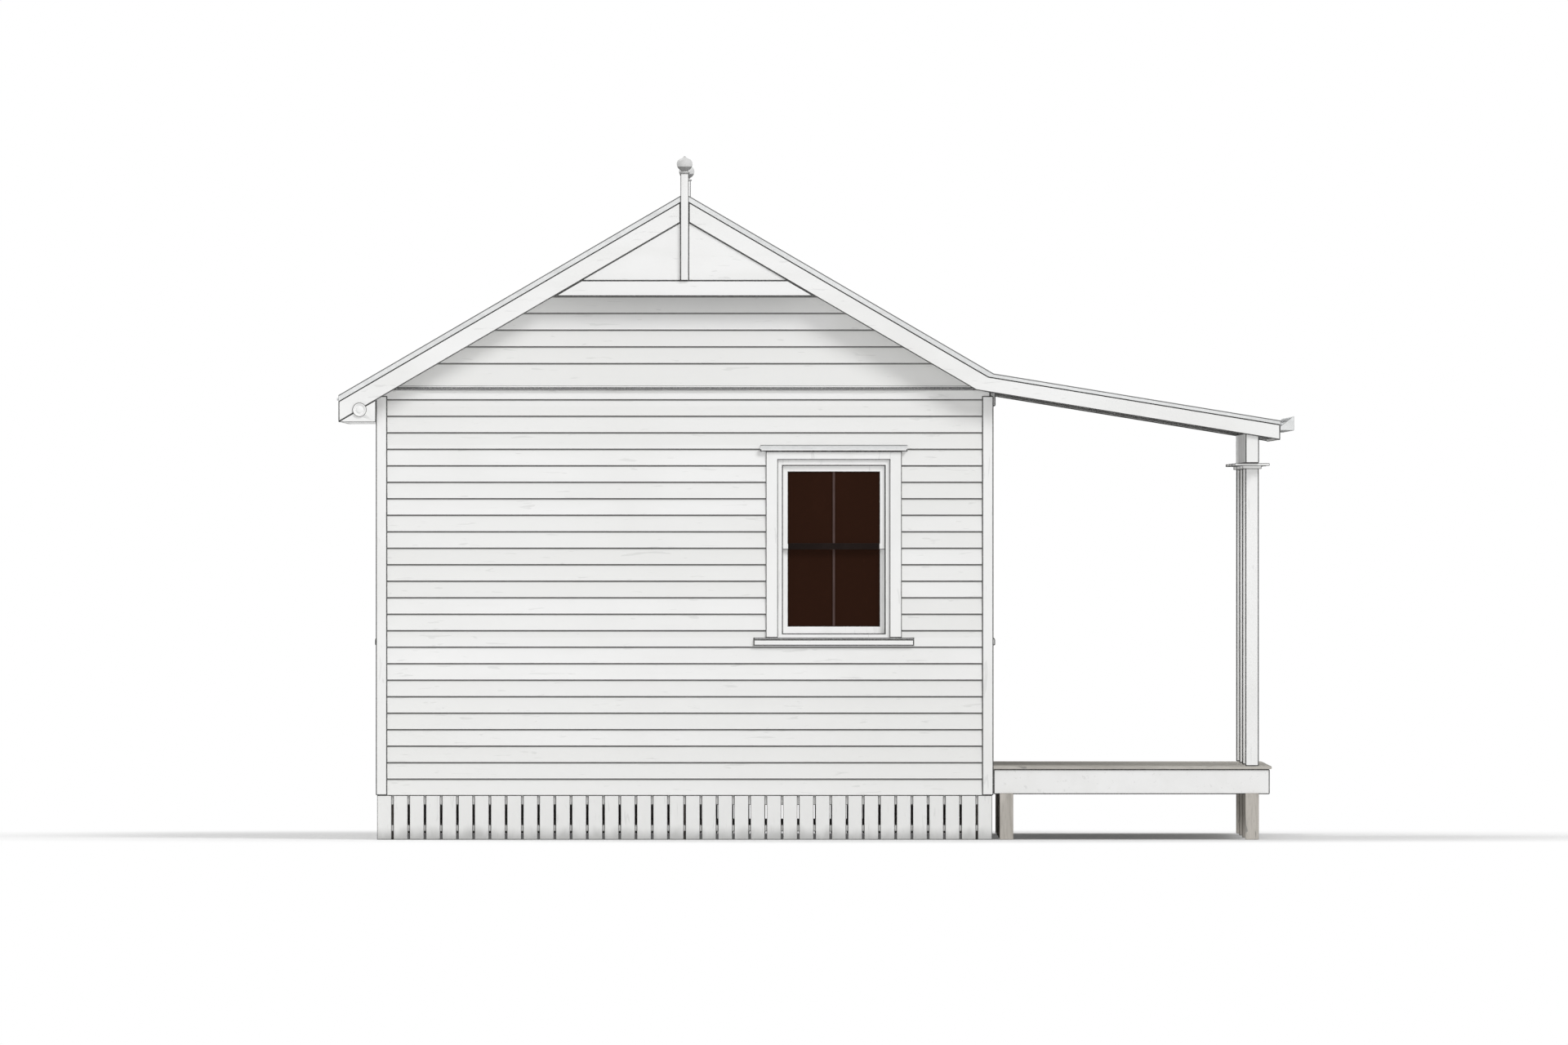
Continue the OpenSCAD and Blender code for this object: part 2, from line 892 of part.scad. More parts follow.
// Jambs and head through the wall, an architrave round them and a threshold under the leaf
module door_frame() {
    inner = door_w / 2 + door_gap;
    outer = door_hole_w / 2;
    head = door_bottom + door_h + door_gap;
    trim = inner + 10 + architrave_w;
    color("white")
        on_wall(1) {
            difference() {
                union() {
                    block([-outer, 0, floor_top], [outer, wall_t, door_frame_top]);
                    block([-trim, -architrave_t, floor_top], [trim, 0, head + 10 + architrave_w]);
                }
                block([-inner, -architrave_t - 10, floor_top + threshold_h], [inner, wall_t + 10, head]);
                block(
                    [-inner - 10, -architrave_t - 10, floor_top + threshold_h],
                    [inner + 10, 0, head + 10]
                );
            }
        }
}

// A leaf with four sunk panels, two tall ones over two short ones
module front_door() {
    stile = 110;
    middle = 100;
    lock_rail = door_bottom + 780;
    panel_w = (door_w - 2 * stile - middle) / 2;
    sink = 12;
    door_top = door_bottom + door_h;
    color("#4a2f20")
        on_wall(1)
            difference() {
                block([-door_w / 2, door_in, door_bottom], [door_w / 2, door_in + door_t, door_top]);
                for (side = [-1, 1])
                    for (face = [door_in - 1, door_in + door_t - sink])
                        translate([side * (middle + panel_w) / 2 - panel_w / 2, face, 0]) {
                            block([0, 0, door_bottom + 200], [panel_w, sink + 1, lock_rail]);
                            block([0, 0, lock_rail + 150], [panel_w, sink + 1, door_top - stile]);
                        }
            }
}

stumps();
floor_bearers();
floor_joists();
floor();
end_base_boards(0);  // left_base_boards
end_base_boards(2);  // right_base_boards
long_base_boards(1);  // front_base_boards
long_base_boards(3);  // rear_base_boards
end_wall(0);  // left_wall
end_wall(2);  // right_wall
front_wall();
rear_wall();
gable_walls();
ceiling();
corner_stops();
belt_mouldings();
barge_boards();
barge_cappings();
collar_boards();
apex_panels();
king_posts();
soffits();
eave_end_panels();
fascia_boards();
rear_roof();
front_roof();
ridge_capping();
verandah_bearers();
verandah_joists();
verandah_floor();
verandah_edge_boards();
verandah_posts();
post_capitals();
verandah_beams();
verandah_rafters();
verandah_roof();
verandah_gutter();
window_frames();
window_sashes();
window_glass();
window_architraves();
window_hoods();
window_sills();
door_frame();
front_door();
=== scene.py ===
import functools
import math
import random

import bmesh
import bpy
from bpy.props import FloatProperty, FloatVectorProperty, PointerProperty
from mathutils import Matrix, Vector


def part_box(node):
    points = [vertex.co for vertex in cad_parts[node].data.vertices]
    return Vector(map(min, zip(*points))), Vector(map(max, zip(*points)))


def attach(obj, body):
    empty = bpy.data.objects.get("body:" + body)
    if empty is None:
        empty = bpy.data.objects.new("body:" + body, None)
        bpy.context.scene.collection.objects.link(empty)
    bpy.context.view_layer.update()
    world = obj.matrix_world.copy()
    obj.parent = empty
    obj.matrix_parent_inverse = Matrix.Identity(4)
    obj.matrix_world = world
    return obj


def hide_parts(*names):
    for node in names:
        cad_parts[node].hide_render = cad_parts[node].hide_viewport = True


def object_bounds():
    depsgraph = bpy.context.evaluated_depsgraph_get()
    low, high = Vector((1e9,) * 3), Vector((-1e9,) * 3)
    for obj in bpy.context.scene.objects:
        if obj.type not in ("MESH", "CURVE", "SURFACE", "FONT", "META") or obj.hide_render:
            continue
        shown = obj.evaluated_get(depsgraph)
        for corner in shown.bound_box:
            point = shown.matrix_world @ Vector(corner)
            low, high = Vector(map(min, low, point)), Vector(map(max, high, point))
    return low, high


bl_info = {
    "name": "Weatherboard Cottage",
    "version": (1, 0, 0),
    "blender": (4, 5, 0),
    "location": "3D Viewport > Sidebar > Cottage",
    "description": "Cladding, roofing, joinery and finishes of a small weatherboard cottage",
    "category": "Add Mesh",
}

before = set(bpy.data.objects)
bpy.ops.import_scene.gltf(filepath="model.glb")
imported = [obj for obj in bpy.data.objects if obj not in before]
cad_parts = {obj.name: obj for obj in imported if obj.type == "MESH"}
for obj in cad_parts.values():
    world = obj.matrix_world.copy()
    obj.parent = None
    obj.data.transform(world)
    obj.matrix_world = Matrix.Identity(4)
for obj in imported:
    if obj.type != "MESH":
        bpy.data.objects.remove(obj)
CAD_LOW, CAD_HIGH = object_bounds()

# Distances below which points are one, and surfaces are kept apart
MERGE = 1e-5
HAIR = 0.001

# Faces that turn less than this are one flat face.
FLAT = math.radians(0.5)

# The walls, by the quarter turn that brings each one's face from -Y to its own side.
LEFT, FRONT, RIGHT, REAR = range(4)

WALL_LOW, WALL_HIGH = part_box("gable_walls")
RIDGE_X = (WALL_LOW.x + WALL_HIGH.x) / 2
HALF_SPAN = (WALL_HIGH.x - WALL_LOW.x) / 2
HALF_LENGTH = WALL_HIGH.y

# The roof's top line falls from the ridge at one slope and past the break at another.
RIDGE_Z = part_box("barge_cappings")[1].z
SHEET_DROP = RIDGE_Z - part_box("front_roof")[1].z
SHEET_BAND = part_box("verandah_roof")[1].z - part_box("front_roof")[0].z
BREAK_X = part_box("verandah_roof")[0].x


def slope_of(node):
    """How far a band of roof falls for each metre across."""
    low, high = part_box(node)
    return (high.z - low.z - SHEET_BAND) / (high.x - low.x)


MAIN_SLOPE = slope_of("front_roof")
VERANDAH_SLOPE = slope_of("verandah_roof")


def roof_z(x):
    """Height of the roof's top line."""
    if x <= BREAK_X:
        return RIDGE_Z - MAIN_SLOPE * abs(x - RIDGE_X)
    return roof_z(BREAK_X) - VERANDAH_SLOPE * (x - BREAK_X)


# A solid is on a wall if it starts less than IN_WALL behind the face, and ends less than OFF_WALL
# in front of it.
IN_WALL = 0.15
OFF_WALL = 0.02


def wall_place(quarter):
    """Turns places on a wall, across it, behind its face and up, into the frame's."""
    reach = HALF_LENGTH if quarter in (LEFT, RIGHT) else HALF_SPAN
    return (
        Matrix.Translation((RIDGE_X, 0, 0))
        @ Matrix.Rotation(quarter * math.pi / 2, 4, "Z")
        @ Matrix.Translation((0, -reach, 0))
    )


# ---- Sizes and colours that a user would change ----


def length(name, description, default):
    return FloatProperty(
        name=name, description=description, default=default, min=0, precision=4, unit="LENGTH"
    )


def amount(name, description, default):
    return FloatProperty(name=name, description=description, default=default, min=0, subtype="FACTOR")


def angle(name, description, degrees):
    turn = math.radians(degrees)
    return FloatProperty(name=name, description=description, default=turn, subtype="ANGLE")


def paint(name, description, default):
    return FloatVectorProperty(
        name=name, description=description, default=default, size=3, min=0, max=1, subtype="COLOR"
    )


class CottageCladding(bpy.types.PropertyGroup):
    """Weatherboards of the walls and gables"""

    cover: length("Cover", "Height of a wall board that shows", 0.12125)
    gable_first: length("First Gable Cover", "Height of the lowest gable board that shows", 0.168)
    gable_cover: length("Gable Cover", "Height of the other gable boards that shows", 0.123)
    lap: length("Lap", "How far a board goes up behind the next one", 0.025)
    butt_out: length("Butt", "How far the lower edge stands out from the framed wall", 0.024)
    butt_back: length("Back", "How far the back of the lower edge stands off the framed wall", 0.011)
    top_out: length("Top", "Thickness of a board's upper edge", 0.008)
    joint: length("Joint", "Gap where two boards of a course meet", 0.0016)
    longest: length("Longest Board", "Length past which a course is joined on a stud", 4.6)
    stud: length("Stud Spacing", "Distance between the studs that joints fall on", 0.45)
    edge: length("Edge", "Rounding of a board's lower edge", 0.003)


class CottageRoofing(bpy.types.PropertyGroup):
    """Corrugated sheets with their cappings, screws and gutter"""

    corrugation: length("Corrugation", "Distance from crest to crest", 0.0762)
    depth: length("Depth", "Height of a corrugation", 0.016)
    sheet: length("Sheet Cover", "Width of a sheet that shows", 0.762)
    gauge: length("Gauge", "Thickness of a sheet", 0.001)
    lap_lift: length("Lap Lift", "Rise of a sheet's edge over its neighbour", 0.0016)
    batten: length("Batten Spacing", "Distance between battens and rows of screws", 0.6)
    batten_width: length("Batten Width", "Width of a batten", 0.05)
    screw: length("Screw Head", "Width of a screw's washer", 0.022)
    capping_length: length("Capping Length", "Length of one piece of ridge capping", 1.85)
    strap: length("Strap Spacing", "Distance between the gutter's straps", 0.63)
    bead: length("Bead", "Radius of the gutter's rolled lip", 0.006)


class CottageJoinery(bpy.types.PropertyGroup):
    """Trim, windows and door"""

    arris: length("Arris", "Rounding of the edges of large trim", 0.008)
    fine_arris: length("Fine Arris", "Rounding of the edges of sashes and thin trim", 0.004)
    metal_arris: length("Metal Arris", "Rounding of the folds of sheet metal", 0.0012)
    bar: length("Glazing Bar", "Width of a glazing bar", 0.016)
    bar_depth: length("Bar Depth", "How far a glazing bar stands out from the glass", 0.010)
    flashing: length("Flashing", "How far a hood's flashing turns down", 0.014)
    knob: length("Knob", "Width of the door knob", 0.056)
    knob_height: length("Knob Height", "Height of the knob above the foot of the door", 0.95)


class CottageDeck(bpy.types.PropertyGroup):
    """Boards of the verandah floor"""

    board: length("Board", "Width of a floor board", 0.09)
    gap: length("Gap", "Gap between floor boards", 0.004)
    nosing: length("Nosing", "Rounding of the ends of the boards", 0.008)
    edge: length("Edge", "Rounding of the long edges of the boards", 0.002)


class CottageColours(bpy.types.PropertyGroup):
    """Colours, as the light that each finish returns"""

    board: paint("Boards", "Paint of the weatherboards", (0.86, 0.86, 0.855))
    trim: paint("Trim", "Paint of the trim, windows and verandah", (0.88, 0.88, 0.875))
    base: paint("Base Boards", "Paint of the boards round the stumps", (0.80, 0.80, 0.79))
    chalk: paint("Chalked Paint", "Paint where the weather has dulled it", (0.78, 0.78, 0.765))
    # Dark colour for real dirt, cracks and grooves, and also for the painted shade under the
    # weatherboard laps and under the cladding.
    grime_and_shade: paint("Grime", "Dirt under laps and in corners", (0.17, 0.17, 0.165))
    # Near-black painted edge shade on the rounded arrises, which also stands for thin worn paint.
    edge_shade_and_wear: paint("Worn Edges", "Edges where the paint is thin", (0.050, 0.050, 0.049))
    timber: paint("Timber", "Weathered timber", (0.52, 0.49, 0.45))
    timber_dark: paint("Timber Grain", "Dark grain of weathered timber", (0.27, 0.25, 0.22))
    deck: paint("Verandah Floor", "Weathered boards of the verandah floor", (0.50, 0.48, 0.44))
    deck_dark: paint("Verandah Floor Grain", "Dark grain of the verandah floor", (0.27, 0.25, 0.22))
    sheet: paint("Roof Sheets", "Zinc coat of the corrugated sheets", (0.64, 0.65, 0.66))
    capping: paint("Cappings", "Paint of the cappings and gutter", (0.80, 0.81, 0.81))
    stain: paint("Stain", "Rust and dust on metal", (0.36, 0.31, 0.26))
    # Near-black brown of the opaque panes: painted shade of the dark room behind the glass.
    glass: paint("Glass", "Dark glass of the windows", (0.0205, 0.0076, 0.0043))
    bars: paint("Glazing Bars", "Paint of the glazing bars", (0.066, 0.042, 0.038))
    meeting: paint("Meeting Rails", "Paint of the rails where the sashes meet", (0.007, 0.0030, 0.0020))
    door: paint("Door", "Paint of the door", (0.055, 0.026, 0.016))
    iron: paint("Iron", "Iron of the door furniture", (0.060, 0.056, 0.052))
    room: paint("Room Paint", "Paint of the rooms and ceiling", (0.72, 0.70, 0.64))


class CottageStage(bpy.types.PropertyGroup):
    """Camera, light and floor"""

    view_width: length("View Width", "Width of the view at the gable", 11.52)
    view_left: length("View Shift", "How far the view's middle is left of the house's", 0.231)
    view_height: length("View Height", "Height of the middle of the view", 2.331)
    lens: FloatProperty(
        name="Lens", description="Focal length of the camera", default=1100, unit="CAMERA"
    )
    sky: amount("Sky Light", "Strength of the even light", 0.62)
    key: amount("Key Light", "Strength of the main light", 1.35)
    key_turn: angle("Key Turn", "How far right of the camera the main light stands", 32)
    key_rise: angle("Key Rise", "Height of the main light", 40)
    key_soft: angle("Key Softness", "Spread of the main light", 22)
    fill: amount("Fill Light", "Strength of the light from behind", 0.8)
    fill_turn: angle("Fill Turn", "How far round the light from behind stands", 218)
    fill_rise: angle("Fill Rise", "Height of the light from behind", 42)
    floor: length("Floor", "Half the width of the floor", 60)
    floor_fade: length("Floor Fade", "Distance at which the floor has gone white", 9)


GROUPS = {
    "cottage_cladding": CottageCladding,
    "cottage_roofing": CottageRoofing,
    "cottage_joinery": CottageJoinery,
    "cottage_deck": CottageDeck,
    "cottage_colours": CottageColours,
    "cottage_stage": CottageStage,
}


# ---- Finishes ----


class Wire:
    """A value in a finish, with arithmetic that adds Math nodes."""

    def __init__(self, finish, socket):
        self.finish = finish
        self.socket = socket

    def maths(self, operation, first, second):
        return self.finish.node("ShaderNodeMath", {"operation": operation}, {0: first, 1: second})

    def __add__(self, other):
        return self.maths("ADD", self, other)

    def __radd__(self, other):
        return self.maths("ADD", other, self)

    def __sub__(self, other):
        return self.maths("SUBTRACT", self, other)

    def __rsub__(self, other):
        return self.maths("SUBTRACT", other, self)

    def __mul__(self, other):
        return self.maths("MULTIPLY", self, other)

    def __rmul__(self, other):
        return self.maths("MULTIPLY", other, self)

    def __mod__(self, other):
        return self.maths("FLOORED_MODULO", self, other)

    def __or__(self, other):
        return self.maths("MAXIMUM", self, other)


class Finish:
    """One material, built from nodes."""

    def __init__(self, name):
        self.material = bpy.data.materials.new(name)
        self.material.use_nodes = True
        self.tree = self.material.node_tree
        self.tree.nodes.clear()
        self.end = self.tree.nodes.new("ShaderNodeOutputMaterial")
        self.place = self.node("ShaderNodeTexCoord", output="Object")

    def node(self, kind, settings=None, values=None, output=0):
        """Adds a node: its settings first, then the values or links of its sockets."""
        made = self.tree.nodes.new(kind)
        for name, value in (settings or {}).items():
            setattr(made, name, value)
        for key, value in (values or {}).items():
            if isinstance(value, Wire):
                self.tree.links.new(value.socket, made.inputs[key])
            else:
                made.inputs[key].default_value = value
        return Wire(self, made.outputs[output])

    def along(self, axis):
        """Height or distance in one direction of the frame."""
        return self.node("ShaderNodeSeparateXYZ", values={0: self.place}, output="XYZ".index(axis))

    def stretched(self, scale):
        return self.node("ShaderNodeVectorMath", {"operation": "MULTIPLY"}, {0: self.place, 1: scale})

    def noise(self, scale, stretch=(1, 1, 1), detail=3.0, roughness=0.55, distortion=0.0):
        values = {
            "Vector": self.stretched(stretch),
            "Scale": scale,
            "Detail": detail,
            "Roughness": roughness,
            "Distortion": distortion,
        }
        return self.node("ShaderNodeTexNoise", values=values)

    def cells(self, scale, output="Distance"):
        values = {"Vector": self.place, "Scale": scale}
        return self.node("ShaderNodeTexVoronoi", values=values, output=output)

    def attribute(self, name):
        return self.node("ShaderNodeAttribute", {"attribute_name": name}, output="Fac")

    def rise(self, value, low, high):
        """0 below low, 1 above high, and smooth between."""
        values = {"Value": value, "From Min": low, "From Max": high}
        return self.node("ShaderNodeMapRange", {"interpolation_type": "SMOOTHSTEP"}, values)

    def blend(self, first, second, share):
        """One colour, and by share another."""
        settings = {"data_type": "RGBA", "clamp_factor": True}
        values = {0: share, 6: tint(first), 7: tint(second)}
        return self.node("ShaderNodeMix", settings, values, output=2)

    def bump(self, height, distance, strength=0.6):
        return self.node(
            "ShaderNodeBump", values={"Height": height, "Distance": distance, "Strength": strength}
        )

    def surface(self, **values):
        """A plain shader, whose sockets are named in small letters."""
        named = {key.replace("_", " ").title().replace("Ior", "IOR"): values[key] for key in values}
        shader = self.node("ShaderNodeBsdfPrincipled", values=named)
        self.tree.links.new(shader.socket, self.end.inputs["Surface"])
        return self.material


def tint(colour):
    """A colour property with its alpha, or a wire as it is."""
    return colour if isinstance(colour, Wire) else (*colour, 1.0)


# How much finer a grain is across each direction than along it
ALONG = {"X": (0.12, 1, 1), "Y": (1, 0.12, 1), "Z": (1, 1, 0.12)}


def colours():
    return bpy.context.scene.cottage_colours


def painted(finish, colour, axis, dirt_and_shade=None):
    """Brushed oil paint with dulled patches and hair cracks; the rounded arrises are darkened as
    painted edge shade that also reads as thin paint, and a further mask darkens it with dirt and
    painted shade.
    """
    dull = finish.rise(finish.noise(0.8, detail=4), 0.42, 0.70)
    brush = finish.noise(70, ALONG[axis], detail=4)
    crack = finish.rise(finish.noise(34, ALONG[axis], detail=2, distortion=0.6), 0.66, 0.70)
    fleck = finish.noise(130, detail=3)
    coat = finish.blend(colour, colours().chalk, dull * 0.55)
    streak = finish.rise(finish.noise(6, ALONG[axis]), 0.45, 0.75)
    coat = finish.blend(coat, colours().chalk, streak * 0.35)
    coat = finish.blend(coat, colours().grime_and_shade, crack * 0.12)
    if dirt_and_shade is not None:
        coat = finish.blend(coat, colours().grime_and_shade, dirt_and_shade)
    # Painted edge shade: the rounded arrises go nearly black, flecked, which also stands for thin worn
    # paint.
    edge_shade = finish.attribute("arris") * (0.80 + 0.20 * finish.rise(fleck, 0.30, 0.60))
    coat = finish.blend(coat, colours().edge_shade_and_wear, edge_shade)
    height = brush * 0.5 + fleck * 0.25 - crack * 0.8
    return finish.surface(
        base_color=coat,
        roughness=0.42 + dull * 0.18 + edge_shade * 0.2,
        normal=finish.bump(height, 0.0012, 0.5),
        specular_ior_level=0.35,
    )


@functools.cache
def trim_paint(axis):
    return painted(Finish(f"trim_paint_{axis.lower()}"), colours().trim, axis)


@functools.cache
def board_paint(axis):
    """Paint of the weatherboards: a dark band along each butt and under the board above, which is dirt
    and painted shade.
    """
    finish = Finish(f"weatherboard_paint_{axis.lower()}")
    # Painted shade and dirt: a band on each board just under the lap of the board above, and a thinner
    # one along its own butt.
    below = 1 - finish.rise(finish.attribute("below"), 0.004, 0.013)
    butt = 1 - finish.rise(finish.attribute("above"), 0.0005, 0.0035)
    fade = 0.82 + 0.18 * finish.noise(5, detail=2)
    coat = finish.blend(colours().board, colours().chalk, finish.attribute("tone") * 0.75)
    return painted(finish, coat, axis, dirt_and_shade=(below | butt * 0.85) * fade)


@functools.cache
def base_paint():
    """Paint of the boards round the stumps: splashed with dirt at the foot, and darker under the
    cladding as grime and painted shade.
    """
    finish = Finish("base_board_paint_z")
    height = finish.along("Z")
    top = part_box("left_base_boards")[1].z
    uneven = finish.noise(9, (1, 1, 0.4), detail=4)
    splash = (1 - finish.rise(height + uneven * 0.10, 0.05, 0.16)) * 0.5
    # Painted shade and grime: a dark band at the top of the boards, under the butt of the cladding.
    lap = finish.rise(height, top * 0.90, top * 0.99) * 0.35
    return painted(finish, colours().base, "Z", dirt_and_shade=splash | lap)


@functools.cache
def room_paint():
    """Lining boards inside: flat paint with a groove between the boards."""
    finish = Finish("room_paint")
    lining_board = 0.14
    groove = 0.006
    line = 1 - finish.rise(finish.along("Z") % lining_board, groove / 3, groove)
    coat = finish.blend(colours().room, colours().grime_and_shade, line * 0.6)
    mottle = finish.noise(12, detail=5)
    return finish.surface(
        base_color=coat,
        roughness=0.55 + mottle * 0.2,
        normal=finish.bump(mottle * 0.3 - line, 0.002),
    )


@functools.cache
def bare_timber(name, axis, pale, dark, rough=0.72):
    """Timber without paint: long grain, darker late wood, fine checks, and a tone for each board."""
    finish = Finish(name)
    rings = finish.noise(11, ALONG[axis], detail=6, distortion=1.2)
    grain = finish.noise(90, ALONG[axis], detail=5, roughness=0.65)
    check = finish.rise(finish.noise(48, ALONG[axis], detail=2, distortion=0.4), 0.67, 0.71)
    patch = finish.noise(1.6, detail=3)
    late_wood = finish.rise(rings, 0.36, 0.72) * 0.55 + finish.attribute("tone") * 0.35
    wood = finish.blend(pale, dark, late_wood)
    wood = finish.blend(wood, dark, finish.rise(grain, 0.45, 0.75) * 0.45)
    wood = finish.blend(wood, colours().grime_and_shade, check * 0.6 + finish.rise(patch, 0.55, 0.8) * 0.15)
    wood = finish.blend(wood, dark, finish.attribute("arris") * 0.45)
    return finish.surface(
        base_color=wood,
        roughness=rough + grain * 0.15,
        normal=finish.bump(grain * 0.5 + rings * 0.4 - check, 0.0025, 0.7),
        specular_ior_level=0.3,
    )


def weathered_timber(axis):
    """The bare timber of the stumps, floor frames and battens."""
    name = f"weathered_timber_{axis.lower()}"
    return bare_timber(name, axis, tuple(colours().timber), tuple(colours().timber_dark))


@functools.cache
def zinc_sheet(name, colour, shine):
    """Zinc-coated steel, weathered: faint spangle, dust down the slope and a few stains."""
    finish = Finish(name)
    spangle = finish.cells(55, output="Color")
    flake = finish.node("ShaderNodeSeparateColor", values={0: spangle})
    run = finish.noise(16, ALONG["X"], detail=5, roughness=0.6)
    cloud = finish.noise(0.9, detail=4)
    stain = finish.rise(finish.noise(5, ALONG["X"], detail=6), 0.66, 0.80)
    dull = tuple(part * 0.80 for part in colour)
    coat = finish.blend(colour, dull, flake * 0.35 + finish.rise(run, 0.40, 0.72) * 0.5)
    coat = finish.blend(coat, dull, finish.rise(cloud, 0.45, 0.70) * 0.5)
    coat = finish.blend(coat, colours().stain, stain * 0.30)
    # Painted edge shade: the rounded folds are darkened nearly to black.
    coat = finish.blend(coat, colours().edge_shade_and_wear, finish.attribute("arris") * 0.85)
    return finish.surface(
        base_color=coat,
        metallic=shine,
        roughness=0.48 + run * 0.18 + flake * 0.06,
        normal=finish.bump(flake * 0.15 + run * 0.3, 0.0008, 0.4),
    )


def capping_metal():
    """The painted steel of the cappings and the gutter."""
    return zinc_sheet("painted_cappings", tuple(colours().capping), 0.1)


@functools.cache
def old_glass():
    """Drawn glass over a dark room: opaque and nearly black brown, as painted shade of the unlit room
    behind it, with faint waves and dust at random.
    """
    finish = Finish("old_glass")
    dust = finish.rise(finish.noise(26, (1, 1, 0.5), detail=6), 0.60, 0.85)
    drift = finish.noise(3, (1, 1, 0.4), detail=3)
    # Painted shade: the pane carries the near-black of the dark room behind it, lifted where dust lies.
    dusty = tuple(part * 2.2 for part in colours().glass)
    pane = finish.blend(colours().glass, dusty, dust * 0.30 + finish.rise(drift, 0.45, 0.8) * 0.25)
    return finish.surface(
        base_color=pane,
        roughness=0.10 + dust * 0.25,
        normal=finish.bump(finish.noise(4, (1, 1, 0.3), detail=2), 0.004, 0.25),
        specular_ior_level=0.06,
        specular_tint=(1.0, 0.55, 0.38, 1.0),
    )


@functools.cache
def gloss_paint(name, colour):
    """Dark gloss paint with brush marks and rubbed edges."""
    finish = Finish(name)
    brush = finish.noise(80, ALONG["Z"], detail=4)
    patch = finish.noise(3, detail=4)
    pale = tuple(min(1.0, part * 1.9 + 0.01) for part in colour)
    coat = finish.blend(colour, pale, finish.rise(patch, 0.45, 0.75) * 0.35)
    coat = finish.blend(coat, pale, finish.attribute("arris") * 0.7)
    return finish.surface(
        base_color=coat,
        roughness=0.32 + patch * 0.2,
        normal=finish.bump(brush, 0.0008, 0.5),
        specular_ior_level=0.1,
    )


@functools.cache
def old_iron():
    """Cast iron rubbed by hands."""
    finish = Finish("old_iron")
    pit = finish.noise(320, detail=3)
    rub = finish.rise(finish.noise(40, detail=4), 0.45, 0.7)
    bright = tuple(part * 3 for part in colours().iron)
    return finish.surface(
        base_color=finish.blend(colours().iron, bright, rub * 0.5),
        metallic=0.85,
        roughness=0.35 + pit * 0.2,
        normal=finish.bump(pit, 0.0004),
    )


# ---- Making pieces ----


def islands(node):
    """The lowest and highest corners of each separate solid of a CAD node."""
    bm = merged_copy(node)
    left = set(bm.verts)
    boxes = []
    while left:
        ready = [left.pop()]
        corners = []
        while ready:
            vert = ready.pop()
            corners.append(vert.co.copy())
            for edge in vert.link_edges:
                other = edge.other_vert(vert)
                if other in left:
                    left.discard(other)
                    ready.append(other)
        boxes.append(box_round(corners))
    bm.free()
    return sorted(boxes, key=lambda box: tuple(box[0]))


def box_round(points):
    return Vector(map(min, *points)), Vector(map(max, *points))


def boxes_on_wall(quarter, *nodes):
    """Boxes of the nodes' solids that are on a wall, in the wall's own directions."""
    back = wall_place(quarter).inverted()
    found = []
    for node in nodes:
        for low, high in islands(node):
            low, high = box_round([back @ low, back @ high])
            if low.y < IN_WALL and high.y > -OFF_WALL:
                found.append((low, high))
    return found


def merged_copy(node):
    """A copy of a CAD node's mesh with its doubles merged and its flat faces whole."""
    bm = bmesh.new()
    bm.from_mesh(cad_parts[node].data)
    bmesh.ops.remove_doubles(bm, verts=bm.verts, dist=MERGE)
    bmesh.ops.dissolve_limit(
        bm, angle_limit=FLAT, use_dissolve_boundaries=False, verts=bm.verts, edges=bm.edges
    )
    return bm


def round_over(bm, width, segments=2, edges=None):
    """Rounds the outer arrises, and marks the rounding so that finishes can darken it as painted edge
    shade and wear.
    """
    arris = bm.faces.layers.float.get("arris") or bm.faces.layers.float.new("arris")
    if edges is None:
        edges = sharp_edges(bm)
    made = bmesh.ops.bevel(
        bm,
        geom=edges,
        offset=width,
        offset_type="OFFSET",
        segments=segments,
        profile=0.5,
        affect="EDGES",
        clamp_overlap=True,
        material=-1,
    )
    for face in made["faces"]:
        face[arris] = 1.0


def sharp_edges(bm, degrees=35):
    """Outer edges whose faces turn by more than an angle."""
    turn = math.radians(degrees)
    return [e for e in bm.edges if e.is_manifold and e.is_convex and e.calc_face_angle() > turn]


def worked(node, width, segments=2):
    """A copy of a CAD node with its arrises rounded."""
    bm = merged_copy(node)
    round_over(bm, width, segments)
    return bm


def add_block(bm, low, high):
    """A block between two corners. Returns its corners."""
    low, high = Vector(low), Vector(high)
    made = bmesh.ops.create_cube(bm, size=1.0)["verts"]
    bmesh.ops.scale(bm, vec=high - low, verts=made)
    bmesh.ops.translate(bm, vec=(low + high) / 2, verts=made)
    return made


def add_drum(bm, sides, foot, top, height, place):
    """A round piece that stands along its own Z, between two radii."""
    bmesh.ops.create_cone(
        bm, cap_ends=True, segments=sides, radius1=foot, radius2=top, depth=height, matrix=place
    )


def cut_off(bm, place, way, closed=True):
    """Cuts off what lies past a plane, and closes the cut."""
    cut = bmesh.ops.bisect_plane(
        bm,
        geom=bm.verts[:] + bm.edges[:] + bm.faces[:],
        dist=MERGE,
        plane_co=place,
        plane_no=way,
        clear_outer=True,
    )
    if closed:
        rim = [part for part in cut["geom_cut"] if isinstance(part, bmesh.types.BMEdge)]
        bmesh.ops.holes_fill(bm, edges=rim)


def finish_piece(name, bm, material, replaced=(), smooth=None):
    """Makes the object, hangs it on the root body, gives it its finish, and hides the CAD nodes that it
    stands for.
    """
    mesh = bpy.data.meshes.new(name)
    bm.to_mesh(mesh)
    bm.free()
    mesh.materials.append(material)
    if smooth is not None:
        mesh.shade_smooth()
        mesh.set_sharp_from_angle(angle=math.radians(smooth))
    piece = bpy.data.objects.new(name, mesh)
    bpy.context.scene.collection.objects.link(piece)
    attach(piece, "root")
    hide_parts(*replaced)
    return piece


def finish_trim(rows):
    """Painted CAD nodes with rounded arrises: the node, name, grain and rounding of each."""
    for node, name, axis, width in rows:
        finish_piece(name, worked(node, width), trim_paint(axis), [node])


